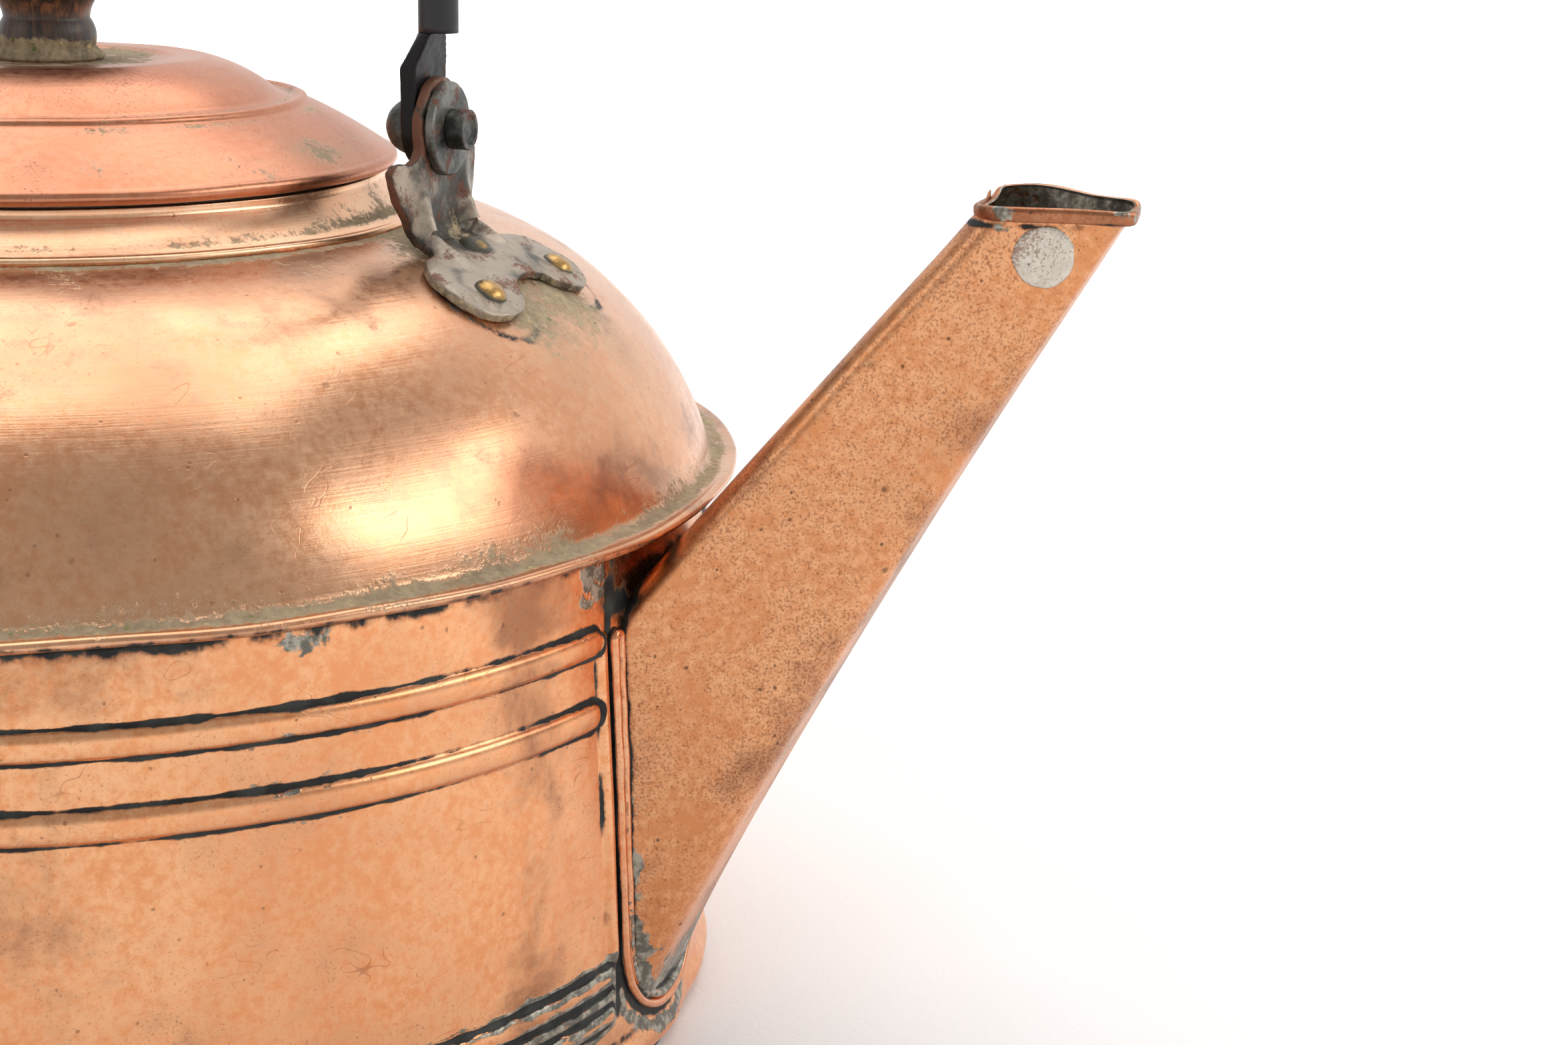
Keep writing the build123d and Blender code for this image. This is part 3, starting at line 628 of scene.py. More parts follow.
def brass():
    """Rivet brass: golden where it is rubbed, dark green-brown in its grime ring."""
    material, b, shader, bump, place = new_material("rivet_brass", 0.0001)
    patch = b.noise(place, 520.0, 4.0, 0.6)
    small = b.noise(place, 2200.0, 2.0, 0.6)
    wear = b.step(b.sway(patch, 1.2, b.mask("worn")), 0.25, 0.75)
    base = b.blend(wear, colour(84, 82, 72), colour(186, 148, 92))
    grey = b.step(b.noise(b.stretch(place, (1, 1, 1), shift=(3, 1, 2)), 760.0, 3.0), 0.56, 0.68)
    base = b.blend(b.sum("MULTIPLY", grey, 0.45), base, colour(122, 108, 84))
    metal = b.sum("MULTIPLY_ADD", wear, 0.75, 0.2)
    rough = b.sum("MULTIPLY_ADD", wear, -0.32, b.sum("MULTIPLY_ADD", small, 0.15, 0.55))
    height = b.sum("MULTIPLY_ADD", small, 0.4, patch)
    finish(b, shader, bump, base, metal, rough, height)
    return material


def wood():
    """Turned hardwood, dark with age: streaks up the neck, orange wear under the flare, dust at the foot."""
    material, b, shader, bump, place = new_material("turned_wood", 0.0002)
    shader.inputs["Coat Roughness"].default_value = 0.35
    streaks = b.noise(b.stretch(place, (900, 900, 70)), 1.0, 4.0, 0.65, 0.6)
    rings = b.noise(b.stretch(place, (160, 160, 1400)), 1.0, 2.0, 0.5)
    broad = b.noise(place, 130.0, 3.0, 0.6)
    base = b.blend(b.step(streaks, 0.35, 0.68), colour(34, 24, 19), colour(86, 58, 40))
    wear = b.step(b.sway(broad, 1.4, b.sway(streaks, 0.8, b.mask("worn"))), 0.45, 0.85)
    streaky_wear = b.sum("MULTIPLY", wear, b.step(streaks, 0.36, 0.6, 0.25, 0.95))
    base = b.blend(streaky_wear, base, colour(132, 82, 50))
    film = b.use(tools["dust"], {"Place": place, "Amount": b.mask("dust")})
    base = b.blend(film.outputs["Mask"], base, film.outputs["Colour"])
    rough = b.sum("MULTIPLY_ADD", streaks, 0.25, 0.36)
    rough = b.sum("MAXIMUM", rough, b.sum("MULTIPLY", film.outputs["Mask"], 0.95))
    coat = b.sum("SUBTRACT", 0.35, film.outputs["Mask"], clamp=True)
    b.give(shader.inputs, Coat_Weight=coat)
    height = b.sum("MULTIPLY_ADD", rings, 0.3, b.sum("MULTIPLY", streaks, 0.6))
    height = b.sum("MULTIPLY_ADD", film.outputs["Height"], 1.6, height)
    finish(b, shader, bump, base, None, rough, height)
    return material


black_lacquer, rivet_brass, knob_wood = lacquer(), brass(), wood()


# ---------------------------------------------------------------- body wall

shoulder_ribs = ((79.7, 84.7), (67.3, 72.6))
base_ribs = ((20.2, 24.6), (17.3, 20.2), (13.2, 17.3))
seat_top, seat_side_z = 82.0, 27.0
wall_top = 96.4


def seat_half(z, margin=0.0):
    """Half width of the spout's seat on the wall at a height."""
    side = 15.4 + (20.3 - 15.4) * (z - seat_side_z) / (seat_top - seat_side_z) + margin
    low = np.sqrt(np.maximum((15.4 + margin) ** 2 - (seat_side_z - z) ** 2, 0))
    return np.where(z < seat_side_z, low, side)


def rib_rise(reach, z, low, high, rise=1.15):
    """Height of a level rib at an arc distance past its rounded end."""
    half = (high - low) / 2
    t = (z - (low + high) / 2) / half
    back = np.clip((half - reach) / half, 0, 10)
    return rise * np.sqrt(np.clip(1 - t * t - back * back, 0, 1))


def edge_gap(reach, z, low, high):
    """Distance to the nearer root line of a rib, growing again past its end."""
    half = (high - low) / 2
    t = np.abs(z - (low + high) / 2)
    round_end = np.hypot(t, np.clip(half - reach, 0, None))
    return np.abs(round_end - half)


def wall_face(angle, z):
    """How far the wall stands out from its plain cylinder, and its oxide and solder masks."""
    out = np.zeros_like(z)
    oxide = np.zeros_like(z)
    solder = np.zeros_like(z)
    arc_place = np.abs(angle) * wall_radius
    place = np.stack([wall_radius * np.cos(angle), wall_radius * np.sin(angle), z], axis=-1).reshape(-1, 3)
    uneven = swell(place, 9.0, 11).reshape(z.shape)
    broad = swell(place, 34.0, 12).reshape(z.shape)
    near_spout = 1 - smooth(arc_place, 24.0, 75.0)
    for ribs, end, width, grey in ((shoulder_ribs, 12.8, 0.44, 0.42), (base_ribs, 10.2, 0.5, 0.9)):
        for low, high in ribs:
            reach = arc_place - math.radians(end) * wall_radius
            out = np.maximum(out, rib_rise(reach, z, low, high))
            gap = edge_gap(reach, z, low, high)
            gap = np.where(reach < -1.2, gap + 3 * (-1.2 - reach), gap)
            wide = width * (1 + 0.45 * uneven + 0.35 * near_spout)
            line = hill(gap, 0, np.maximum(wide, 0.25))
            out -= 0.34 * hill(gap, 0, 0.5)
            oxide = np.maximum(oxide, line * (0.9 + 0.25 * broad))
            lip = hill(gap, 1.5 * wide, 0.8 * wide)
            solder = np.maximum(solder, lip * grey * (0.42 + 0.3 * broad + 0.35 * near_spout))
    # upright rib beside the seat, and the dark channel between it and the seat's ridge
    middle = seat_half(np.clip(z, seat_side_z, seat_top)) + 5.5
    upright = np.abs(arc_place - middle)
    inside = smooth(z, 22.6, 25.6) * (1 - smooth(z, 82.6, 83.8))
    bar = np.sqrt(np.clip(1.75 ** 2 - upright ** 2, 0.75 ** 2, None)) - 0.75
    out = np.maximum(out, bar * inside)
    channel = np.abs(arc_place - (middle - 2.15))
    seat_run = smooth(z, 11.0, 16.0) * (1 - smooth(z, 86.0, 92.0))
    out -= 0.4 * hill(channel, 0, 0.7) * seat_run
    oxide = np.maximum(oxide, 1.05 * hill(channel, 0, 0.95) * seat_run)
    outer_edge = np.abs(arc_place - (middle + 1.8))
    widening = 0.45 + 0.5 * (1 - smooth(z, 24.0, 70.0))
    oxide = np.maximum(oxide, 0.72 * hill(outer_edge, 0, widening) * inside * (0.65 + 0.45 * uneven))
    # black and grey residue round the seat's foot and head
    low_place = np.hypot(arc_place, z - seat_side_z) - (15.4 + 3.4)
    foot_ring = np.where(z < seat_side_z, hill(low_place, 0, 1.3), 0)
    oxide = np.maximum(oxide, 0.95 * foot_ring)
    foot_grey = np.where(z < seat_side_z, hill(low_place, 2.6, 2.0), 0)
    solder = np.maximum(solder, 0.7 * foot_grey)
    crust = hill(arc_place, 21.0, 7.0) * smooth(z, 80.0, 88.0)
    oxide = np.maximum(oxide, 0.75 * crust * (0.75 + 0.35 * uneven))
    solder = np.maximum(solder, 0.5 * hill(arc_place, 27.0, 6.0) * smooth(z, 84.0, 90.0))
    # under the rim
    under = smooth(z, 92.8, 96.4)
    oxide = np.maximum(oxide, under * (0.56 + 0.36 * broad + 0.16 * uneven))
    blotches = swell(place, 22.0, 15).reshape(z.shape)
    solder = np.maximum(solder, smooth(z, 90.5, 94.0) * (0.24 + 0.4 * blotches))
    # rolled foot
    foot = np.interp(z, (0.0, 1.2, 2.2, 3.2, 4.2, 5.2, 6.4, 7.6, 9.0),
                     (-0.8, -0.8, 0.45, 1.1, 1.3, 1.15, 0.75, 0.3, 0.0))
    out += foot
    oxide = np.maximum(oxide, 0.5 * hill(z, 8.6, 1.0) * (0.6 + 0.5 * broad))
    oxide = np.maximum(oxide, (1 - smooth(z, 0.6, 2.0)) * 0.7)
    return out, np.clip(oxide, 0, 1), np.clip(solder, 0, 1)


def wall_dents(points):
    """The wall's slight waves and knocks, as a distance outwards."""
    wave = 0.16 * swell(points, 75.0, 21) + 0.05 * swell(points, 26.0, 22)
    low = 1 - smooth(points[:, 2], 2.0, 16.0)
    wave = wave + 0.28 * low * swell(points, 17.0, 23)
    return wave


def spout_corner_radius(z):
    """Radius of the spout's lower corners, which tightens towards the mouth."""
    return 2.8 + 0.035 * (spout_high[2] - z)


def side_at(x, z):
    """Half width of the spout between its flat sides."""
    return 44.8 - 0.282 * x + 0.083 * z


def upper_edge(z):
    """How far out the spout's straight upper ridge lies at a height."""
    return 113.0 + 0.806 * (z - 87.0)


def lower_edge(z):
    """How far out the spout's slightly bowed keel lies at a height."""
    return 108.2 + 0.46 * z + 0.00045 * z * z + 1.8 * np.exp(-(z - 11.0) / 8.0)


def build_wall():
    """The wall with its ribs, rolled foot and the spout's hole, as one sheet."""
    near = np.radians(np.arange(-17.0, 17.0, 0.2))
    far = np.radians(np.linspace(17.0, 343.0, 436)[:-1])
    angles = np.concatenate([near, far])
    angles = (angles + math.pi) % (2 * math.pi) - math.pi
    runs = ((0.0, 12.6, 0.6), (12.6, 26.0, 0.32), (26.0, 66.2, 1.2), (66.2, 86.0, 0.33),
            (86.0, wall_top, 0.8))
    heights = np.concatenate([np.arange(low, high, step) for low, high, step in runs] + [[wall_top]])
    a, z = np.meshgrid(angles, heights, indexing="ij")
    out, oxide, solder = wall_face(a, z)
    flat = np.stack([np.cos(a) * wall_radius, np.sin(a) * wall_radius, z], axis=2).reshape(-1, 3)
    out = out + wall_dents(flat).reshape(out.shape)
    calm = smooth(z, 0.0, 1.2) * (1 - smooth(z, 94.0, wall_top))
    out = np.where(z < 1.2, np.minimum(out, -0.8), out * np.where(z > 90, calm, 1.0))
    r = wall_radius + out
    edge_r = np.broadcast_to([116.0, 119.0], (len(angles), 2))
    edge_z = np.broadcast_to([97.35, 97.4], (len(angles), 2))
    outer_r, outer_z = np.concatenate([r, edge_r], 1), np.concatenate([z, edge_z], 1)
    inner_r = np.concatenate([r - sheet, edge_r - [0.7, 0.0]], 1)
    inner_z = np.concatenate([z, edge_z + [0.75, 0.75]], 1)
    wide_a = np.concatenate([a, a[:, -1:], a[:, -1:]], 1)
    rows, columns = wide_a.shape

    def skin(rr, zz):
        return np.stack([rr * np.cos(wide_a), rr * np.sin(wide_a), zz], axis=2).reshape(-1, 3)

    points = np.concatenate([skin(outer_r, outer_z), skin(inner_r, inner_z)])
    faces = net(rows, columns, True, False)
    centre_a = np.abs(wide_a).reshape(-1)[faces].mean(axis=1)
    centre_z = outer_z.reshape(-1)[faces].mean(axis=1)
    half = np.minimum(seat_half(centre_z, -1.2), 30)
    hole = (centre_a * wall_radius < half) & (centre_z < 84.0) & (centre_z > seat_side_z - 13.6)
    hole &= np.abs(wide_a).reshape(-1)[faces].max(axis=1) < 1.0
    kept = faces[~hole]
    size = rows * columns
    edges = np.concatenate([kept[:, [0, 1]], kept[:, [1, 2]], kept[:, [2, 3]], kept[:, [3, 0]]])
    key = np.sort(edges, axis=1)
    code = key[:, 0].astype(np.int64) * size + key[:, 1]
    index, count = np.unique(code, return_index=True, return_counts=True)[1:]
    border = edges[index[count == 1]]
    walls = np.stack([border[:, 1], border[:, 0], border[:, 0] + size, border[:, 1] + size], axis=1)
    every = outward(points, np.concatenate([kept, kept[:, ::-1] + size, walls]))
    used = np.zeros(len(points), bool)
    used[every.ravel()] = True
    fresh = np.cumsum(used) - 1
    ones = np.zeros((rows, 2))
    full_oxide = np.concatenate([oxide, ones + 0.6], 1).reshape(-1)
    full_solder = np.concatenate([solder, ones + 0.2], 1).reshape(-1)
    stain = 0.14 + 0.12 * swell(points[:size], 48.0, 31)
    turn = np.degrees(wide_a.reshape(-1))
    # the darker band at -22 degrees is mauve tarnish plus a painted dark reflection; the lighter band at -33
    # degrees is a painted bright reflection
    stain = stain + 0.5 * hill(turn, -22, 4.5) - 0.4 * hill(turn, -33, 5.0)
    # darker towards the top, below the rim
    stain = stain + 0.3 * smooth(points[:size, 2], 84.0, 88.0)
    # painted reflection shade: a darker band round -60 degrees, partly mauve tarnish
    shade = hill(wide_a.reshape(-1), -math.radians(60), 0.16)
    stain = stain + 0.3 * shade
    masks = {"oxide": np.concatenate([full_oxide, 0.25 + 0 * full_oxide])[used],
             "solder": np.concatenate([full_solder, 0.5 + 0 * full_solder])[used],
             "stain": np.concatenate([stain, 0.5 + 0 * stain])[used]}
    make_piece("body_wall_sheet", points[used], fresh[every], wall_copper, "kettle",
               ("body_wall",), masks)


build_wall()


# ---------------------------------------------------------------- dome, collar and lid

def from_ears(points, x):
    """Level distance to the nearer of two places on the bail's line, x either side of the axis."""
    return np.hypot(np.abs(points[:, 0]) - x, points[:, 1])


def soft_dents(points, places):
    """Sum of round knocks: (angle in degrees, height, breadth, depth) each."""
    push = np.zeros(len(points))
    for degrees, z, breadth, depth in places:
        a = math.radians(degrees)
        r = dome_centre_r + math.sqrt(max(dome_arc ** 2 - (z - dome_centre_z) ** 2, 0))
        centre = np.array([r * math.cos(a), r * math.sin(a), z])
        away = np.linalg.norm(points - centre, axis=1)
        push -= depth * hill(away, 0, breadth)
    return push


dome_knocks = ((-62, 128, 15, 0.45), (-78, 121, 17, 0.5), (-47, 124, 11, 0.25), (-95, 126, 18, 0.5),
               (-72, 108, 12, 0.2), (-33, 119, 12, 0.25), (40, 118, 16, 0.5), (110, 125, 18, 0.45),
               (165, 112, 15, 0.4), (-150, 122, 19, 0.5), (75, 130, 14, 0.3))


def build_dome():
    """The domed shoulder with its rim, knocks and the dust in its corners."""
    cove_z = rim_top + 1.6
    cove_r = dome_centre_r + math.sqrt(dome_arc ** 2 - (cove_z - dome_centre_z) ** 2)
    low_angle = math.degrees(math.asin((cove_z - dome_centre_z) / dome_arc))
    inner_low = math.degrees(math.asin((rim_top - 0.8 - dome_centre_z) / (dome_arc - sheet)))
    outer = joined(
        [(rim_radius - 0.9, rim_top - 1.65)],
        arc((rim_radius - 0.85, rim_top - 0.8), 0.85, -90, 90, 10),
        fine([(rim_radius - 0.85, rim_top + 0.05), (rim_radius - 2.0, rim_top - 0.18),
              (cove_r + 1.8, rim_top - 0.05)], 0.5),
        bow((cove_r + 1.8, rim_top - 0.05), (cove_r + 0.62, rim_top + 0.45), (cove_r, cove_z), 6),
        arc((dome_centre_r, dome_centre_z), dome_arc, low_angle, 90, 96),
        fine([(dome_centre_r, dome_top), (56.4, dome_top)], 1.0),
    )
    inner = joined(
        [(56.4, dome_top - sheet)],
        fine([(56.4, dome_top - sheet), (dome_centre_r, dome_top - sheet)], 2.0),
        arc((dome_centre_r, dome_centre_z), dome_arc - sheet, 90, inner_low, 40),
        [(rim_radius - 0.9, rim_top - 0.75), (rim_radius - 0.95, rim_top - 1.4)],
    )
    profile = joined(outer, inner)

    def shape(points):
        r = from_axis(points)
        normal = np.stack([(r - dome_centre_r) / dome_arc * points[:, 0] / r,
                           (r - dome_centre_r) / dome_arc * points[:, 1] / r,
                           (points[:, 2] - dome_centre_z) / dome_arc], axis=1)
        body = smooth(points[:, 2], 101.5, 110.0) * smooth(r, 64.0, 74.0)
        push = soft_dents(points, dome_knocks)
        push = push + 0.22 * swell(points, 52.0, 41) + 0.05 * swell(points, 19.0, 42)
        ears = smooth(from_ears(points, 83), 22.0, 40.0)
        points = points + normal * (push * body * ears)[:, None]
        edge = smooth(r, 115.0, 119.0)
        points[:, 2] += 0.22 * edge * swell(points, 46.0, 43)
        points[:, :2] *= (1 - 0.0012 * edge * np.abs(swell(points, 38.0, 44)))[:, None]
        return points

    points, faces = turned(profile, 640, shape)
    r, z = from_axis(points), points[:, 2]
    top = points[:, 2] > dome_height(np.clip(r, 56, 116)) - 0.6
    ear_near = from_ears(points, 82)
    dust = 1.1 * hill(r, 116.3, 1.9) * (z < 103)
    dust = np.maximum(dust, 0.5 * hill(z, 100.6, 2.6) * (r > 100))
    dust = np.maximum(dust, 0.9 * hill(r, 64.9, 2.2))
    dust = np.maximum(dust, 0.95 * (1 - smooth(ear_near, 10.0, 30.0)))
    dust = np.maximum(dust, 0.42 * (1 - smooth(r, 66.0, 86.0)))
    dust = dust + 0.16 * swell(points, 17.0, 45) * (dust > 0.05)
    dust = np.where(top, np.clip(dust, 0, 1), 0.1)
    stain = 0.22 + 0.24 * swell(points, 44.0, 46)
    stain = stain + 0.25 * hill(z, 106.0, 5.0)
    oxide = 0.45 * hill(z, rim_top - 1.2, 0.5) * (r > 118)
    lobe = np.abs(np.hypot(np.abs(points[:, 0]) - 86.6, np.abs(points[:, 1]) - 13.6) - 8.9)
    oxide = np.maximum(oxide, 0.6 * hill(lobe, 0, 0.9) * (z > 120))
    masks = {"dust": dust, "stain": np.where(top, stain, 0.7), "oxide": np.clip(oxide, 0, 1)}
    make_piece("dome_sheet", points, faces, dome_copper, "kettle", ("shoulder_dome",), masks)


def build_collar():
    """The raised collar that the lid sits in."""
    high = node_box("neck_collar")[1]
    inner = 56.25
    profile = joined(
        [(63.7, dome_top - 0.12), (63.75, dome_top + 0.35)],
        arc((63.1, dome_top + 0.4), 0.65, 0, 100, 6),
        bow((62.9, dome_top + 1.02), (59.5, dome_top + 3.4), (57.0, high[2] - 1.4), 24),
        fine([(57.0, high[2] - 1.4), (57.0, high[2] - 0.4)], 0.6),
        arc((56.62, high[2] - 0.4), 0.38, 0, 180, 6),
        fine([(inner, high[2] - 0.4), (inner, dome_top - 0.9)], 1.5),
        [(59.5, dome_top - 0.5), (61.5, dome_top - 0.35)],
    )

    def shape(points):
        points = points.copy()
        points[:, 2] += 0.08 * swell(points, 40.0, 51)
        points[:, :2] *= (1 + 0.0012 * swell(points, 30.0, 52))[:, None]
        return points

    points, faces = turned(profile, 512, shape)
    z = points[:, 2]
    r = from_axis(points)
    dust = 0.5 * hill(z - dome_top, 1.9, 1.1) * (r > 56.6) + 0.02
    ear_near = from_ears(points, 62)
    dust = dust + 0.42 * (1 - smooth(ear_near, 6.0, 34.0)) + 0.12 * swell(points, 15.0, 53)
    dust = dust * (0.35 + 0.65 * smooth(np.abs(z - dome_top - 0.9), 0.2, 1.2))
    masks = {"dust": np.clip(dust, 0, 1), "stain": 0.06 + 0.2 * swell(points, 30.0, 54)}
    make_piece("collar_ring", points, faces, collar_copper, "kettle",
               ("neck_collar",), masks)


def build_lid():
    """The lid's sheet: rolled edge, swept side, bead and raised middle."""
    z0 = lid_low[2] + 1.25
    wire = np.array([57.95, z0])
    shoulder = arc(wire, 1.25, -200, 80, 26)
    bead = arc((42.7, z0 + 9.45), 0.95, 20, 150, 10)
    outer = joined(
        shoulder,
        bow(tuple(shoulder[-1]), (51.6, z0 + 5.3), (43.75, z0 + 9.3), 44),
        bead,
        fine([tuple(bead[-1]), (40.6, z0 + 9.75), (38.8, z0 + 10.5)], 0.5),
        bow((38.8, z0 + 10.5), (33.4, z0 + 14.1), (27.0, z0 + 16.5), 34),
        fine([(27.0, z0 + 16.5), (26.3, z0 + 16.62), (21.2, z0 + 16.5)], 0.6),
        fine([(21.2, z0 + 16.5), (19.9, z0 + 15.98), (19.3, z0 + 15.9), (1.7, z0 + 15.9)], 0.8),
    )
    inner = joined(
        fine([(1.7, z0 + 15.1), (26.6, z0 + 15.6)], 1.6),
        bow((26.6, z0 + 15.6), (33.0, z0 + 13.3), (38.4, z0 + 9.6), 16),
        [(43.0, z0 + 8.4)],
        bow((43.0, z0 + 8.4), (51.2, z0 + 4.5), (56.6, z0 + 0.9), 20),
    )
    profile = joined(outer, inner)

    def shape(points):
        points = points.copy()
        r = from_axis(points)
        free = smooth(r, 20.0, 28.0)
        points[:, 2] += free * (0.10 * swell(points, 40.0, 61) + 0.03 * swell(points, 14.0, 62))
        points[:, :2] *= (1 - 0.0014 * smooth(r, 50, 58) * np.abs(swell(points, 36.0, 63)))[:, None]
        return points

    points, faces = turned(profile, 560, shape)
    r, z = from_axis(points), points[:, 2]
    under = np.arange(len(points)) % len(profile) >= len(outer)
    ear_side = hill(from_ears(points, 55), 0, 22)
    dust = 0.62 * hill(r, 40.6, 1.2)
    dust = np.maximum(dust, 0.5 * hill(r, 45.0, 1.4))
    dust = np.maximum(dust, 0.3 * hill(r, 54.6, 3.4) + 0.25 * ear_side)
    dust = np.maximum(dust, 0.75 * (1 - smooth(r, 17.0, 22.5)))
    dust = np.maximum(dust, 0.24 * hill(r, 23.0, 3.0))
    dust = dust + 0.15 * swell(points, 13.0, 64) * (dust > 0.04)
    oxide = 0.75 * hill(r, 57.2, 0.9) * (z < z0 - 0.35)
    oxide = np.maximum(oxide, 0.34 * hill(r, 41.5, 0.6) * (0.8 + 0.6 * swell(points, 9.0, 65)))
    masks = {"dust": np.where(under, 0.0, np.clip(dust, 0, 1)), "oxide": np.clip(oxide, 0, 1),
             "stain": np.where(under, 0.8, 0.2 + 0.22 * swell(points, 35.0, 66))}
    make_piece("lid_sheet", points, faces, lid_copper, "lid", ("lid_shell",), masks)


def build_knob():
    """The turned knob: a waisted neck under a flattened ball."""
    z0 = knob_low[2]
    profile = joined(
        [(0.25, z0 + 0.02), (5.0, z0 + 0.02), (9.1, z0 + 0.02)],
        arc((9.05, z0 + 0.6), 0.45, -90, 70, 6),
        fine([(9.2, z0 + 1.05), (8.7, z0 + 1.5), (8.0, z0 + 2.3)], 0.3),
        bow((8.0, z0 + 2.3), (8.1, z0 + 4.7), (7.2, z0 + 7.0), 14),
        bow((7.2, z0 + 7.0), (8.1, z0 + 9.8), (12.4, z0 + 12.4), 18),
        bow((12.4, z0 + 12.4), (17.55, z0 + 19.5), (12.6, z0 + 27.0), 40),
        bow((12.6, z0 + 27.0), (7.4, z0 + 29.7), (0.25, z0 + 30.4), 18),
    )

    def shape(points):
        points = points.copy()
        grow = 1 + 0.006 * swell(points, 14.0, 71) + 0.003 * swell(points, 4.0, 72)
        points[:, :2] *= grow[:, None]
        return points

    points, faces = turned(profile, 192, shape)
    z = points[:, 2] - z0
    worn = 0.6 * hill(z, 8.8, 2.6) + 0.2 * smooth(z, 20, 26)
    dust = 1.15 * (1 - smooth(z, 1.8, 4.8)) + 0.4 * (1 - smooth(z, 3.0, 8.0)) + 0.12 * smooth(z, 26.0, 29.5)
    make_piece("knob_turning", points, faces, knob_wood, "lid", ("lid_knob",),
               {"worn": np.clip(worn, 0, 1), "dust": np.clip(dust, 0, 1)})


build_dome()
build_collar()
build_lid()
build_knob()


# ---------------------------------------------------------------- spout

def spout_outline(z, inset, side_steps=38, end_steps=12, corner_steps=8):
    """Level outline of the spout at a height, always with the same number of points."""
    near_x, far_x = upper_edge(z) + inset, lower_edge(z) - inset
    slant = inset * math.sqrt(1 + 0.282 ** 2)
    near_y, far_y = side_at(near_x, z) - slant, side_at(far_x, z) - slant
    corners = np.array([(near_x, -near_y), (far_x, -far_y), (far_x, far_y), (near_x, near_y)])
    radii = (4.5 - inset, spout_corner_radius(z) - inset, spout_corner_radius(z) - inset, 4.5 - inset)
    pieces = []
    for k in range(4):
        here, before, after = corners[k], corners[k - 1], corners[(k + 1) % 4]
        u = (before - here) / np.linalg.norm(before - here)
        v = (after - here) / np.linalg.norm(after - here)
        half = math.acos(np.clip(u @ v, -1, 1)) / 2
        reach = radii[k] / math.tan(half)
        middle = here + (u + v) / np.linalg.norm(u + v) * radii[k] / math.sin(half)
        start, end = here + u * reach - middle, here + v * reach - middle
        turn = math.atan2(start[0] * end[1] - start[1] * end[0], start @ end)
        a = turn * np.arange(corner_steps + 1) / corner_steps
        swing = np.stack([start[0] * np.cos(a) - start[1] * np.sin(a),
                          start[0] * np.sin(a) + start[1] * np.cos(a)], axis=1) + middle
        pieces.append(swing)
    steps = (side_steps, end_steps, side_steps, end_steps)
    line = []
    for k in range(4):
        line.append(pieces[k])
        a, b = pieces[k][-1], pieces[(k + 1) % 4][0]
        t = (np.arange(1, steps[k]) / steps[k])[:, None]
        line.append(a + (b - a) * t)
    return np.concatenate(line)


mouth_z = spout_high[2]


def spout_bend(points):
    """Hand-made unevenness: slack sides, and the mouth's far side pushed out of true."""
    x, y, z = points.T
    near_mouth = hill(mouth_z, z, 13.0)
    across = (x - upper_edge(z)) / np.maximum(lower_edge(z) - upper_edge(z), 1.0)
    belly = hill(across, 0.42, 0.30)
    far = smooth(y, 0.0, 4.0)
    nearer = smooth(-y, 0.0, 4.0)
    away = np.zeros_like(points)
    away[:, 1] += near_mouth * far * 2.3 * belly
    away[:, 1] -= near_mouth * nearer * 0.4 * belly
    slack = smooth(z, 20.0, 60.0) * (1 - smooth(z, 138.0, 152.0))
    middle = hill(across, 0.5, 0.33)
    sway = (0.35 * swell(points, 46.0, 81) + 0.07 * swell(points, 15.0, 82)) * middle * slack
    away[:, 1] += sway * np.sign(y) * smooth(np.abs(y), 1.0, 4.0)
    away[:, 2] += 0.25 * near_mouth * swell(points, 14.0, 83)
    away[:, 2] += hill(mouth_z, z, 6.0) * smooth(y, 1.0, 5.0) * (0.8 + 0.5 * belly)
    return points + away


def spout_skin(inset, meet, rows):
    """A grid of points over the spout from the wall to the mouth."""
    levels = np.linspace(6.0, mouth_z, 260)
    outlines = np.stack([spout_outline(z, inset) for z in levels])
    reach = np.hypot(outlines[..., 0], outlines[..., 1])
    columns = outlines.shape[1]
    grid = np.zeros((rows, columns, 3))
    for k in range(columns):
        outside = np.nonzero(reach[:, k] < meet)[0]
        first = outside[-1] if len(outside) else 0
        if first + 1 < len(levels):
            span = (meet - reach[first, k]) / max(reach[first + 1, k] - reach[first, k], 1e-6)
            start = levels[first] + np.clip(span, 0, 1) * (levels[1] - levels[0])
        else:
            start = levels[-1]
        z = start + (mouth_z - start) * np.linspace(0, 1, rows)
        grid[:, k, 0] = np.interp(z, levels, outlines[:, k, 0])
        grid[:, k, 1] = np.interp(z, levels, outlines[:, k, 1])
        grid[:, k, 2] = z
    return grid


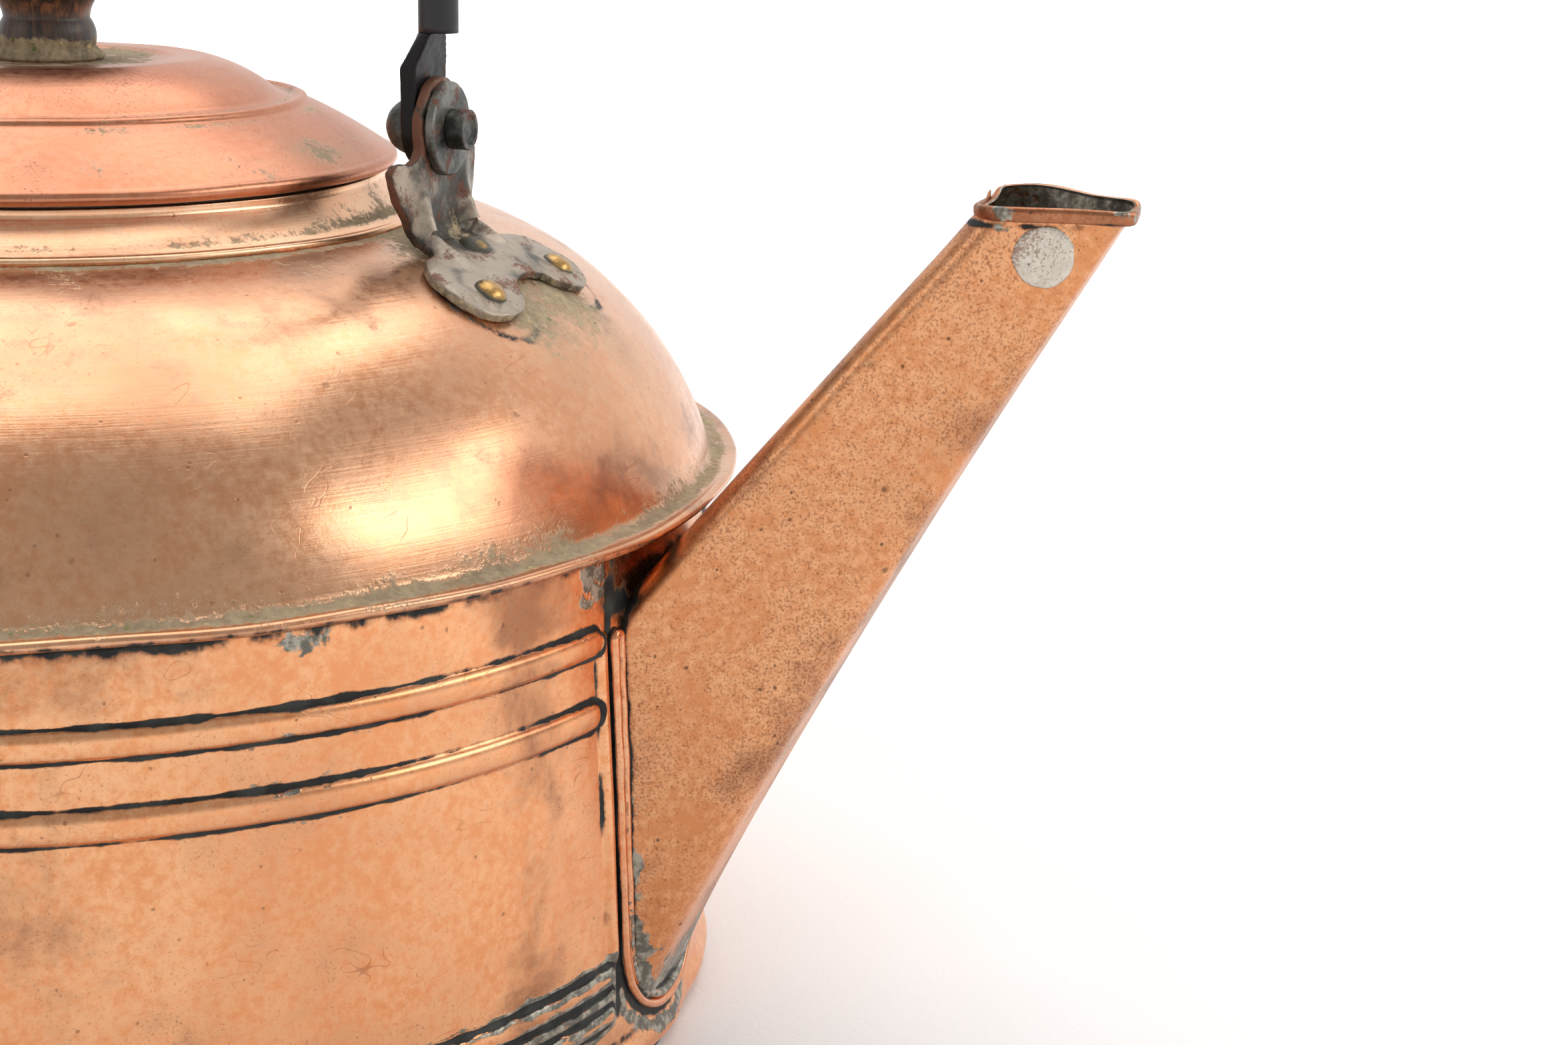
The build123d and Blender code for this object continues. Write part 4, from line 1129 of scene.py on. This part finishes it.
def build_spout():
    """The spout's sheet, from the wall to the mouth, open at both ends."""
    rows = 190
    outer = spout_skin(0.0, wall_radius - 0.35, rows)
    inner = spout_skin(sheet, wall_radius - 0.35, rows)
    columns = outer.shape[1]
    flat = outer.reshape(-1, 3)
    reach = np.hypot(flat[:, 0], flat[:, 1]) - wall_radius
    z = flat[:, 2]
    across = (flat[:, 0] - upper_edge(z)) / np.maximum(lower_edge(z) - upper_edge(z), 1.0)
    wide = 0.6 + 3.3 * (1 - smooth(z, 26.0, 72.0))
    solder = 0.95 * hill(reach, 0, np.maximum(wide, 0.3)) * (0.85 + 0.3 * swell(flat, 7.0, 91))
    solder = solder * (0.45 + 0.55 * (1 - smooth(z, 30.0, 74.0)))
    under_band = hill(mouth_z - 3.0, z, 1.0) * (0.6 + 0.6 * swell(flat, 6.0, 92))
    solder = np.maximum(solder, 0.5 * under_band)
    oxide = 0.9 * hill(reach, 0.2, 0.9)
    band_line = hill(mouth_z - 2.7, z, 0.6) * (0.7 + 0.5 * swell(flat, 8.0, 93))
    oxide = np.maximum(oxide, 0.6 * band_line)
    top_corner = hill(z, 88.0, 5.0) * hill(reach, 0, 3.0)
    oxide = np.maximum(oxide, 0.9 * top_corner)
    # painted shade: the stain mask darkens the sheet along its upper ridge, where the top face turns away,
    # and in a gradient towards the rounded lower keel, more so near the wall and over the lower half at
    # middle heights
    ridge = hill(across, 0, 0.10)
    keel = smooth(across, 0.72, 1.0)
    foot = 1 - smooth(z, 18.0, 60.0)
    stain = 0.10 + 0.15 * swell(flat, 26.0, 94) + 0.6 * ridge + 0.42 * keel + 0.16 * foot * keel
    stain = stain + 0.10 * hill(z, 70, 22) * smooth(across, 0.5, 0.9)
    push = np.clip(solder - 0.4, 0, 1) * 0.5
    side_way = np.zeros_like(flat)
    side_way[:, 1] = np.sign(flat[:, 1])
    flat = flat + side_way * (push * smooth(np.abs(flat[:, 1]), 2.0, 6.0))[:, None]
    points = np.concatenate([spout_bend(flat), spout_bend(inner.reshape(-1, 3))])
    size = rows * columns
    skin = net(rows, columns, False, True)
    ring = np.arange(columns)
    after = (ring + 1) % columns
    caps = []
    for row in (0, rows - 1):
        base = row * columns
        cap = np.stack([base + ring, base + after, size + base + after, size + base + ring], axis=1)
        caps.append(cap[:, ::-1] if row == 0 else cap)
    faces = np.concatenate([skin, skin[:, ::-1] + size, caps[0], caps[1]])
    faces = outward(points, faces)
    inside = np.ones(size)
    masks = {"oxide": np.concatenate([np.clip(oxide, 0, 1), 0.5 * inside]),
             "solder": np.concatenate([np.clip(solder, 0, 1), 0.62 * inside]),
             "stain": np.concatenate([stain, 0.9 * inside]),
             "dust": np.concatenate([0 * inside, 0.45 * inside])}
    piece = make_piece("spout_sheet", points, faces, spout_copper, "kettle",
                       ("spout_shell",), masks)
    return piece


def build_mouth_band():
    """Rolled edge round the mouth: thick on the near side, thin on the far side, open at one corner."""
    line = spout_outline(mouth_z - 0.55, -0.28)
    path = np.concatenate([line, np.full((len(line), 1), mouth_z - 0.55)], axis=1)
    path = spout_bend(path)
    path = np.roll(path, -(len(path) - 10), axis=0)
    path = fine(path[:-3], 0.8)
    count = len(path)
    share = np.linspace(0, 1, count)
    y = path[:, 1]
    thick = 0.42 + 0.58 * smooth(-y, -3.0, 3.0)
    turns = full_turn(20)
    sideways = np.cos(turns) * 0.62 + 0.12
    upwards = np.where(np.sin(turns) > 0, np.sin(turns) * 0.78, np.sin(turns) * 1.55)
    section = np.stack([np.outer(thick, sideways), np.outer(0.55 + 0.45 * thick, upwards)], axis=2)
    ends = np.minimum(smooth(share, 0.0, 0.012), 1 - smooth(share, 0.985, 1.0))
    section *= (0.25 + 0.75 * ends)[:, None, None]
    path[:, 2] += 0.8 * (1 - smooth(share, 0.0, 0.035))
    points, faces = swept(path, section, False)
    points, faces = capped(points, faces, count, 20)
    solder = 0.48 + 0.34 * swell(points, 5.0, 101)
    oxide = 0.5 * hill(points[:, 2], mouth_z - 1.9, 0.35) + 0.14 * swell(points, 6.0, 102)
    far = smooth(points[:, 1], -1.0, 3.0)
    masks = {"solder": np.clip(solder * (0.6 + 0.5 * far), 0, 1), "oxide": np.clip(oxide + 0.2 * far, 0, 1),
             "dust": np.clip(0.1 + 0.4 * far, 0, 1)}
    make_piece("mouth_rolled_edge", points, faces, band_copper, "kettle",
               ("spout_mouth_band",), masks)


def build_patch():
    """Small round tinned patch, a shallow blob with an uneven rim."""
    x0, z0, radius = 176.5, 145.8, 4.75
    y0 = -side_at(x0, z0)
    normal = np.array([0.282, -1.0, -0.083])
    normal /= np.linalg.norm(normal)
    right = np.cross((0, 0, 1), normal)
    right /= -np.linalg.norm(right)
    up = np.cross(normal, right)
    up *= np.sign(up[2])
    rings, turns = 18, 96
    a = full_turn(turns)
    wobble = 1 + 0.018 * np.sin(3 * a + 1) + 0.012 * np.sin(7 * a + 2)
    rows = []
    for depth, shares in ((0.0, np.linspace(0.02, 1, rings)), (-0.5, np.linspace(1.0, 0.02, 5))):
        for share in shares:
            r = radius * share * wobble
            lift = depth if depth < 0 else 0.24 * (1 - share ** 8)
            rows.append(np.array([x0, y0, z0]) + np.outer(r * np.cos(a), right) + np.outer(r * np.sin(a), up)
                        + normal * lift)
    points = np.stack(rows)
    flat = spout_bend(points.reshape(-1, 3))
    flat = flat + normal * 0.03 * swell(flat, 1.6, 111)[:, None]
    faces = outward(flat, net(len(rows), turns, True, True))
    stain = 0.28 + 0.5 * smooth(-(flat[:, 0] - x0) - 0.5 * (z0 - flat[:, 2]), 1.0, 4.6)
    make_piece("tin_patch_disc", flat, faces, tin_patch, "kettle", ("spout_patch",),
               {"stain": 0.5 * stain, "speckle": 0.2 + 0.5 * stain})


def wall_point(sideways, z, lift):
    """A point over the wall at an arc distance from the spout's plane."""
    angle = sideways / wall_radius
    out = np.interp(z, (0.0, 2.2, 4.2, 9.0), (-0.8, 0.45, 1.3, 0.0))
    r = wall_radius + out + lift
    return np.stack([r * np.cos(angle), r * np.sin(angle), z], axis=-1)


def build_seat():
    """Ridged strip round the spout's foot: a hairpin of two ridges joined at their tops."""
    def run(margin, head):
        z = np.arange(seat_side_z, head, 0.9)
        side = seat_half(z, margin)
        a = np.radians(np.arange(90, -91, -3.0))
        low = np.stack([(15.4 + margin) * np.sin(a), seat_side_z - (15.4 + margin) * np.cos(a)], axis=1)
        left = np.stack([-side, z], axis=1)
        right = np.stack([side, z], axis=1)
        return joined(left[::-1], low[::-1], right)
    outer = run(2.25, 81.2)
    inner = run(0.5, 81.2)
    turn = []
    for sign in (1, -1):
        a = np.radians(np.linspace(0, 180, 9)[1:-1])
        centre = sign * (seat_half(np.array(81.2)) + 1.38)
        turn.append(np.stack([centre + sign * np.cos(a) * 1.0, 81.2 + 1.25 * np.sin(a)], axis=1))
    loop = np.concatenate([outer, turn[0], inner[::-1], turn[1][::-1]])
    loop = fine(np.concatenate([loop, loop[:1]]), 0.8)[:-1]
    path = wall_point(loop[:, 0], loop[:, 1], 0.25)
    path = path + 0.07 * swell(path, 9.0, 121)[:, None] * np.array([0.3, 1.0, 0.3])
    out = path * [1, 1, 0]
    out /= np.linalg.norm(out, axis=1)[:, None]
    turns = full_turn(14)
    size = 1 + 0.12 * swell(path, 12.0, 122)
    section = np.stack([np.outer(size, np.cos(turns) * 0.78), np.outer(size, np.sin(turns) * 1.05)], axis=2)
    points, faces = swept(path, section, True, out)
    faces = outward(points, faces)
    r = from_axis(points) - wall_radius
    side = np.abs(np.arctan2(points[:, 1], points[:, 0])) * wall_radius
    gap = np.abs(side - seat_half(np.clip(points[:, 2], seat_side_z, seat_top), 1.45))
    oxide = 0.85 * (1 - smooth(r, 0.2, 0.75)) + 0.3 * (gap < 0.5)
    grey = (1 - smooth(points[:, 2], 20.0, 60.0)) * (side < seat_half(points[:, 2], 1.2))
    make_piece("seat_ridges", points, faces, seat_copper, "kettle", ("spout_seat",),
               {"oxide": np.clip(oxide, 0, 1), "solder": np.clip(0.6 * grey, 0, 1)})


build_spout()
build_mouth_band()
build_patch()
build_seat()


# ---------------------------------------------------------------- bail tube, ears and small parts

def build_tube():
    """The bail's hollow tube, bent to two upright legs and an arch."""
    x, low, top = 73.1, tube_low[2], tube_high[2] - 3.3
    corner, outer_radius, bore_radius = 50.0, 3.27, 2.32
    leg = np.stack([np.full(60, -x), np.linspace(low, top - corner, 60)], axis=1)
    bend = arc((-x + corner, top - corner), corner, 180, 90, 60)
    half = joined(leg, bend, fine([(-x + corner, top), (0, top)], 1.5))
    line = joined(half, half[::-1] * [-1, 1])
    path = np.stack([line[:, 0], np.zeros(len(line)), line[:, 1]], axis=1)
    free = smooth(path[:, 2], low + 4.0, low + 40.0)
    path[:, 1] += 0.35 * free * swell(path, 90.0, 131)
    count = len(path)
    turns = full_turn(36)
    ring = np.stack([np.cos(turns), np.sin(turns)], axis=1)
    size = outer_radius * (1 + 0.004 * swell(path, 21.0, 132))
    outer, faces = swept(path, ring[None] * size[:, None, None], False, (0, 1, 0))
    inner = swept(path, ring[None] * bore_radius * np.ones((count, 1, 1)), False, (0, 1, 0))[0]
    points = np.concatenate([outer, inner])
    total = count * 36
    k = np.arange(36)
    after = (k + 1) % 36
    ends = []
    for row in (0, count - 1):
        base = row * 36
        cap = np.stack([base + k, base + after, total + base + after, total + base + k], axis=1)
        ends.append(cap if row == 0 else cap[:, ::-1])
    every = outward(points, np.concatenate([faces, faces[:, ::-1] + total, ends[0], ends[1]]))
    make_piece("bail_tube_bent", points, every, black_lacquer, "bail", ("bail_tube",))


build_tube()


def dress(node, material, voxel=0.0, strength=0.0, size=1.5, soften=2):
    """A part of the frame kept as it is, with its finish; forged parts get softened, uneven faces."""
    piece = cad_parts[node]
    if not piece.material_slots:
        piece.data.materials.append(material)
    for place in piece.material_slots:
        place.material = material
    if voxel:
        skin = piece.modifiers.new("forged_skin", "REMESH")
        skin.mode = "VOXEL"
        skin.voxel_size = voxel * mm
        skin.use_smooth_shade = True
        soft = piece.modifiers.new("rubbed_edges", "SMOOTH")
        soft.factor = 0.5
        soft.iterations = soften
    if strength:
        lumps = bpy.data.textures.new(f"{node}_lumps", "CLOUDS")
        lumps.noise_scale = size * mm
        lumps.noise_depth = 2
        hammer = piece.modifiers.new("hammered", "DISPLACE")
        hammer.texture = lumps
        hammer.texture_coords = "LOCAL"
        hammer.strength = strength * mm
        hammer.mid_level = 0.5
    return piece


rivet_places = ((78.9, 0.0), (87.6, 14.2), (87.6, -14.2))


def build_rivets(place, sign):
    """Three hand-headed brass rivets of an ear, worn bright on top."""
    points, faces, worn, start = [], [], [], 0
    for number, (x, y) in enumerate(rivet_places):
        r = math.hypot(x, y)
        out = (r - dome_centre_r) / dome_arc
        normal = np.array([out * x / r, out * y / r, math.sqrt(1 - out * out)])
        foot = np.array([x, y, float(dome_height(np.array(r)))]) + normal * 1.4
        side = np.cross(normal, (0, 1, 0))
        side /= np.linalg.norm(side)
        fore = np.cross(normal, side)
        profile = joined([(0.05, -0.6), (2.6, -0.6), (2.95, -0.25)],
                         bow((2.95, -0.25), (2.1, 1.2), (0.05, 1.75), 16))
        turns = 60
        a = full_turn(turns)
        wobble = 1 + 0.035 * np.sin(2 * a + number) + 0.02 * np.sin(5 * a + 2 * number)
        rr = np.outer(wobble, profile[:, 0])
        level = (rr * np.cos(a)[:, None])[..., None] * side + (rr * np.sin(a)[:, None])[..., None] * fore
        rise = np.broadcast_to(profile[:, 1], rr.shape)
        grid = (foot + level + rise[..., None] * normal).reshape(-1, 3)
        grid += 0.04 * swell(grid, 2.4, 141 + number)[:, None] * normal
        net_faces = outward(grid - foot, net(turns, len(profile), True, True)) + start
        points.append(grid)
        faces.append(net_faces)
        down_slope = (grid - foot) @ np.array([1.0, 0, 0]) / 2.6
        shelter = 0.35 if number == 0 else 1.0
        worn.append(smooth(rise.ravel(), 0.2, 1.3) * (0.75 + 0.35 * down_slope) * shelter)
        start += len(grid)
    points, faces = np.concatenate(points), np.concatenate(faces)
    points = points * [sign, sign, 1]
    make_piece(f"rivet_heads_{place}", points, faces, rivet_brass, "kettle",
               (f"ear_rivets_{place}",), {"worn": np.clip(np.concatenate(worn), 0, 1)})


def ear_sheet():
    """The ear's forged plate while it is still flat: points (across, thickness, down from the pin)."""
    eye = [(8.4 * math.sin(a), -8.4 * math.cos(a)) for a in np.radians(np.arange(0, 112, 4))]
    horn = [(9.0, 4.2), (10.9, 4.9), (13.2, 4.5), (15.2, 4.6), (16.2, 5.8), (15.6, 8.2), (13.9, 11.6),
            (12.0, 14.6), (10.7, 17.2), (10.4, 19.4), (11.0, 21.4)]
    lobe = [(13.6 + 8.6 * math.cos(a), 31 + 8.6 * math.sin(a)) for a in np.radians(np.arange(-96, 152, 6))]
    half = eye + horn + lobe + [(3.6, 34.2), (1.6, 33.7), (0.0, 33.6)]
    outline = np.array(half + [(-u, v) for u, v in half[-2:0:-1]])
    count = len(outline)
    corners = [(u * mm, w * mm, v * mm) for w in (-0.9, 0.9) for u, v in outline]
    sides = [(k, (k + 1) % count, (k + 1) % count + count, k + count) for k in range(count)]
    mesh = bpy.data.meshes.new("ear_blank")
    mesh.from_pydata(corners, [], [tuple(range(count))[::-1], tuple(range(count, 2 * count)), *sides])
    blank = new_object("ear_blank", mesh)
    skin = blank.modifiers.new("skin", "REMESH")
    skin.mode, skin.voxel_size = "VOXEL", 0.33 * mm
    soft = blank.modifiers.new("soft", "SMOOTH")
    soft.factor, soft.iterations = 0.5, 3
    solid = blank.evaluated_get(bpy.context.evaluated_depsgraph_get())
    made = solid.to_mesh()
    points = np.empty(len(made.vertices) * 3, np.float32)
    made.vertices.foreach_get("co", points)
    faces = np.empty(len(made.loops), np.int32)
    made.loops.foreach_get("vertex_index", faces)
    solid.to_mesh_clear()
    bpy.data.objects.remove(blank)
    bpy.data.meshes.remove(mesh)
    return points.reshape(-1, 3).astype(float) / mm, faces.reshape(-1, 4)


def build_ear(place, sign):
    """Forged plate that stands up beside the bail and turns out flat on to the dome."""
    flat, faces = ear_sheet()
    u, w, v = flat.T
    middle_x, radius = 72.9, 3.2
    foot_x = np.linspace(middle_x + radius, 99.0, 80)
    foot_z = dome_height(foot_x, 0.95)
    slope = math.atan2(foot_z[1] - foot_z[0], foot_x[1] - foot_x[0])
    turn = np.linspace(0, math.pi / 2 + slope, 14)
    turn_x = middle_x + radius * (1 - np.cos(turn))
    turn_z = foot_z[0] + radius * (1 - np.sin(turn)) - (radius * (1 - math.sin(turn[-1])))
    line = np.concatenate([[[middle_x, pin_z + 10]], np.stack([turn_x, turn_z], axis=1),
                           np.stack([foot_x[1:] - radius + (turn_x[-1] - middle_x), foot_z[1:]], axis=1)])
    line[15:, 1] = dome_height(line[15:, 0], 0.95)
    length = np.concatenate([[0], np.cumsum(np.linalg.norm(np.diff(line, axis=0), axis=1))]) - 10
    x, z = np.interp(v, length, line[:, 0]), np.interp(v, length, line[:, 1])
    ahead_x, ahead_z = np.interp(v + 0.4, length, line[:, 0]), np.interp(v + 0.4, length, line[:, 1])
    run = np.hypot(ahead_x - x, ahead_z - z)
    out_x, out_z = -(ahead_z - z) / run, (ahead_x - x) / run
    pleat = 2.3 * hill(v, 17.0, 5.5) + 0.5 * smooth(v, 6.0, 12.0) * (1 - smooth(v, 24.0, 31.0))
    ridge = pleat * hill(np.abs(u) - 7.7, 0.09 * (v - 8), 1.5)
    wing = -0.09 * np.clip(np.abs(u) - 8.5, 0, 9) ** 1.3 * smooth(v, 2.0, 6.0) * (1 - smooth(v, 15.0, 20.0))
    lumps = 0.10 * swell(flat, 6.0, 151) + 0.04 * swell(flat, 2.4, 152)
    w2 = w + ridge + wing + lumps
    foot = smooth(v, 15.0, 21.0)
    drop = dome_height(np.hypot(x, u)) - dome_height(np.maximum(x, 60.7))
    points = np.stack([x + out_x * w2, u, z + out_z * w2 + drop * foot], axis=1)
    edge = (1 - smooth(np.abs(w), 0.45, 0.85))
    near_rivet = np.minimum(np.hypot(np.abs(u) - 14.2, v - 31.5), np.hypot(u, v - 22.5))
    hollow = hill(v, 17.5, 5.0) * (1 - smooth(np.abs(u), 3.0, 7.5))
    dust = 0.30 * smooth(v, 17.0, 24.0) + 0.5 * hollow + 0.14 * swell(flat, 9.0, 153)
    dust = np.maximum(dust, 0.75 * edge * smooth(v, 20.0, 26.0))
    pale = 0.30 + 0.46 * smooth(v, 18.0, 27.0) + 0.16 * swell(flat, 8.0, 154) - 0.5 * edge - 0.3 * hollow
    pale = pale + 0.2 * smooth(np.abs(u), 8.5, 11.0)
    pale = pale - 0.45 * hill(near_rivet, 3.6, 1.3) + 0.35 * ridge / 2.3
    rust = 0.36 + 0.3 * edge * (1 - smooth(v, 16.0, 22.0)) + 0.14 * swell(flat, 7.0, 155)
    rust = rust + 0.25 * hill(np.hypot(u, v), 8.2, 1.0)
    points = points * [sign, sign, 1]
    faces = outward(points - points.mean(axis=0), faces)
    make_piece(f"ear_plate_{place}", points, faces, ear_iron, "kettle", (f"ear_{place}",),
               {"dust": np.clip(dust, 0, 1), "pale": pale, "rust_amount": rust})


for place, sign in (("front", 1), ("rear", -1)):
    build_rivets(place, sign)
    build_ear(place, sign)
    dress(f"pivot_pin_{place}", pivot_iron, 0.2, 0.12, 1.6, 3)
    dress(f"pivot_washer_{place}", pivot_iron, 0.2, 0.14, 2.4, 3)
    dress(f"bail_lug_{place}", bail_iron, 0.26, 0.2, 3.0, 3)
dress("base_plate", base_copper)
dress("lid_bezel", tin_bezel)
dress("knob_screw", screw_steel)
dress("knob_washer", washer_steel)


# ---------------------------------------------------------------- floor, light and camera

def build_floor():
    """Pale paper floor that fades to white in the distance."""
    mesh = bpy.data.meshes.new("studio_floor")
    far = 6.0
    mesh.from_pydata([(-far, -far, 0), (far, -far, 0), (far, far, 0), (-far, far, 0)], [], [(0, 1, 2, 3)])
    floor = new_object("studio_floor", mesh)
    material, b, shader, bump, place = new_material("studio_paper", 0.0001, **{"Roughness": 0.6})
    base = b.blend(b.noise(place, 40.0, 3.0), (0.93, 0.93, 0.93, 1), (0.95, 0.95, 0.95, 1))
    b.give(shader.inputs, Base_Color=base)
    away = b.put("ShaderNodeVectorMath", {0: place}, operation="LENGTH").outputs["Value"]
    seen = b.put("ShaderNodeLightPath").outputs["Is Camera Ray"]
    shader.inputs["Emission Color"].default_value = (1, 1, 1, 1)
    glow = b.sum("MULTIPLY", b.step(away, 0.28, 1.1), b.sum("MULTIPLY_ADD", seen, 0.4, 0.6))
    b.give(shader.inputs, Emission_Strength=glow)
    b.give(bump.inputs, Height=b.noise(place, 900.0, 2.0))
    mesh.materials.append(material)


def soft_light(name, aim, azimuth, elevation, distance, width, height, brightness):
    """A softbox that shines at a point from a direction; brightness is that of its face."""
    a, e = math.radians(azimuth), math.radians(elevation)
    way = Vector((math.sin(a) * math.cos(e), -math.cos(a) * math.cos(e), math.sin(e)))
    lamp = bpy.data.lights.new(name, "AREA")
    lamp.shape = "RECTANGLE"
    lamp.size, lamp.size_y = width, height
    lamp.energy = brightness * math.pi * width * height
    box = new_object(name, lamp)
    box.location = Vector(aim) + way * distance
    box.rotation_euler = way.to_track_quat("Z", "Y").to_euler()
    return box


build_floor()
soft_light("softbox_above", (0, 0, 0.1), 205, 77, 1.3, 1.35, 1.3, 1.7)
soft_light("softbox_right", (0, 0, 0.1), 101, 28, 1.3, 0.95, 0.5, 3.2)
soft_light("softbox_left", (0, 0, 0.1), -42, 25, 1.6, 0.6, 1.0, 1.1)

world = bpy.data.worlds.new("white_studio")
bpy.context.scene.world = world
world.use_nodes = True
world.node_tree.nodes.clear()
sky = Bench(world.node_tree)
direction = sky.put("ShaderNodeTexCoord").outputs["Generated"]
split = sky.put("ShaderNodeSeparateXYZ", {0: direction})
depth = sky.sum("MULTIPLY_ADD", split.outputs[0], -0.285, sky.sum("MULTIPLY", split.outputs[1], 0.958))
behind = sky.step(depth, 0.1, 0.75)
tone = sky.blend(behind, (0.44, 0.435, 0.43, 1), (1.0, 1.0, 1.0, 1))
seen = sky.put("ShaderNodeLightPath").outputs["Is Camera Ray"]
tone = sky.blend(seen, tone, (1, 1, 1, 1))
backdrop = sky.put("ShaderNodeBackground", {"Color": tone, "Strength": 1.0})
sky.put("ShaderNodeOutputWorld", {"Surface": backdrop.outputs[0]})
bpy.context.scene.view_settings.view_transform = "Standard"

eye = Vector((248.1, -382.1, 207.2)) * mm
gaze = Vector((-0.2750, 0.9241, -0.2654)).normalized()
level = gaze.cross(Vector((0, 0, 1))).normalized()
over = level.cross(gaze).normalized()
roll = 0.0301
right = level * math.cos(roll) + over * math.sin(roll)
up = over * math.cos(roll) - level * math.sin(roll)
lens = bpy.data.cameras.new("studio_camera")
lens.lens = 57.72
lens.sensor_width = 36.0
lens.clip_start = 0.01
camera = new_object("studio_camera", lens)
turn = Matrix((right, up, -gaze)).transposed()
camera.matrix_world = Matrix.Translation(eye) @ turn.to_4x4()
bpy.context.scene.camera = camera

bpy.context.view_layer.update()
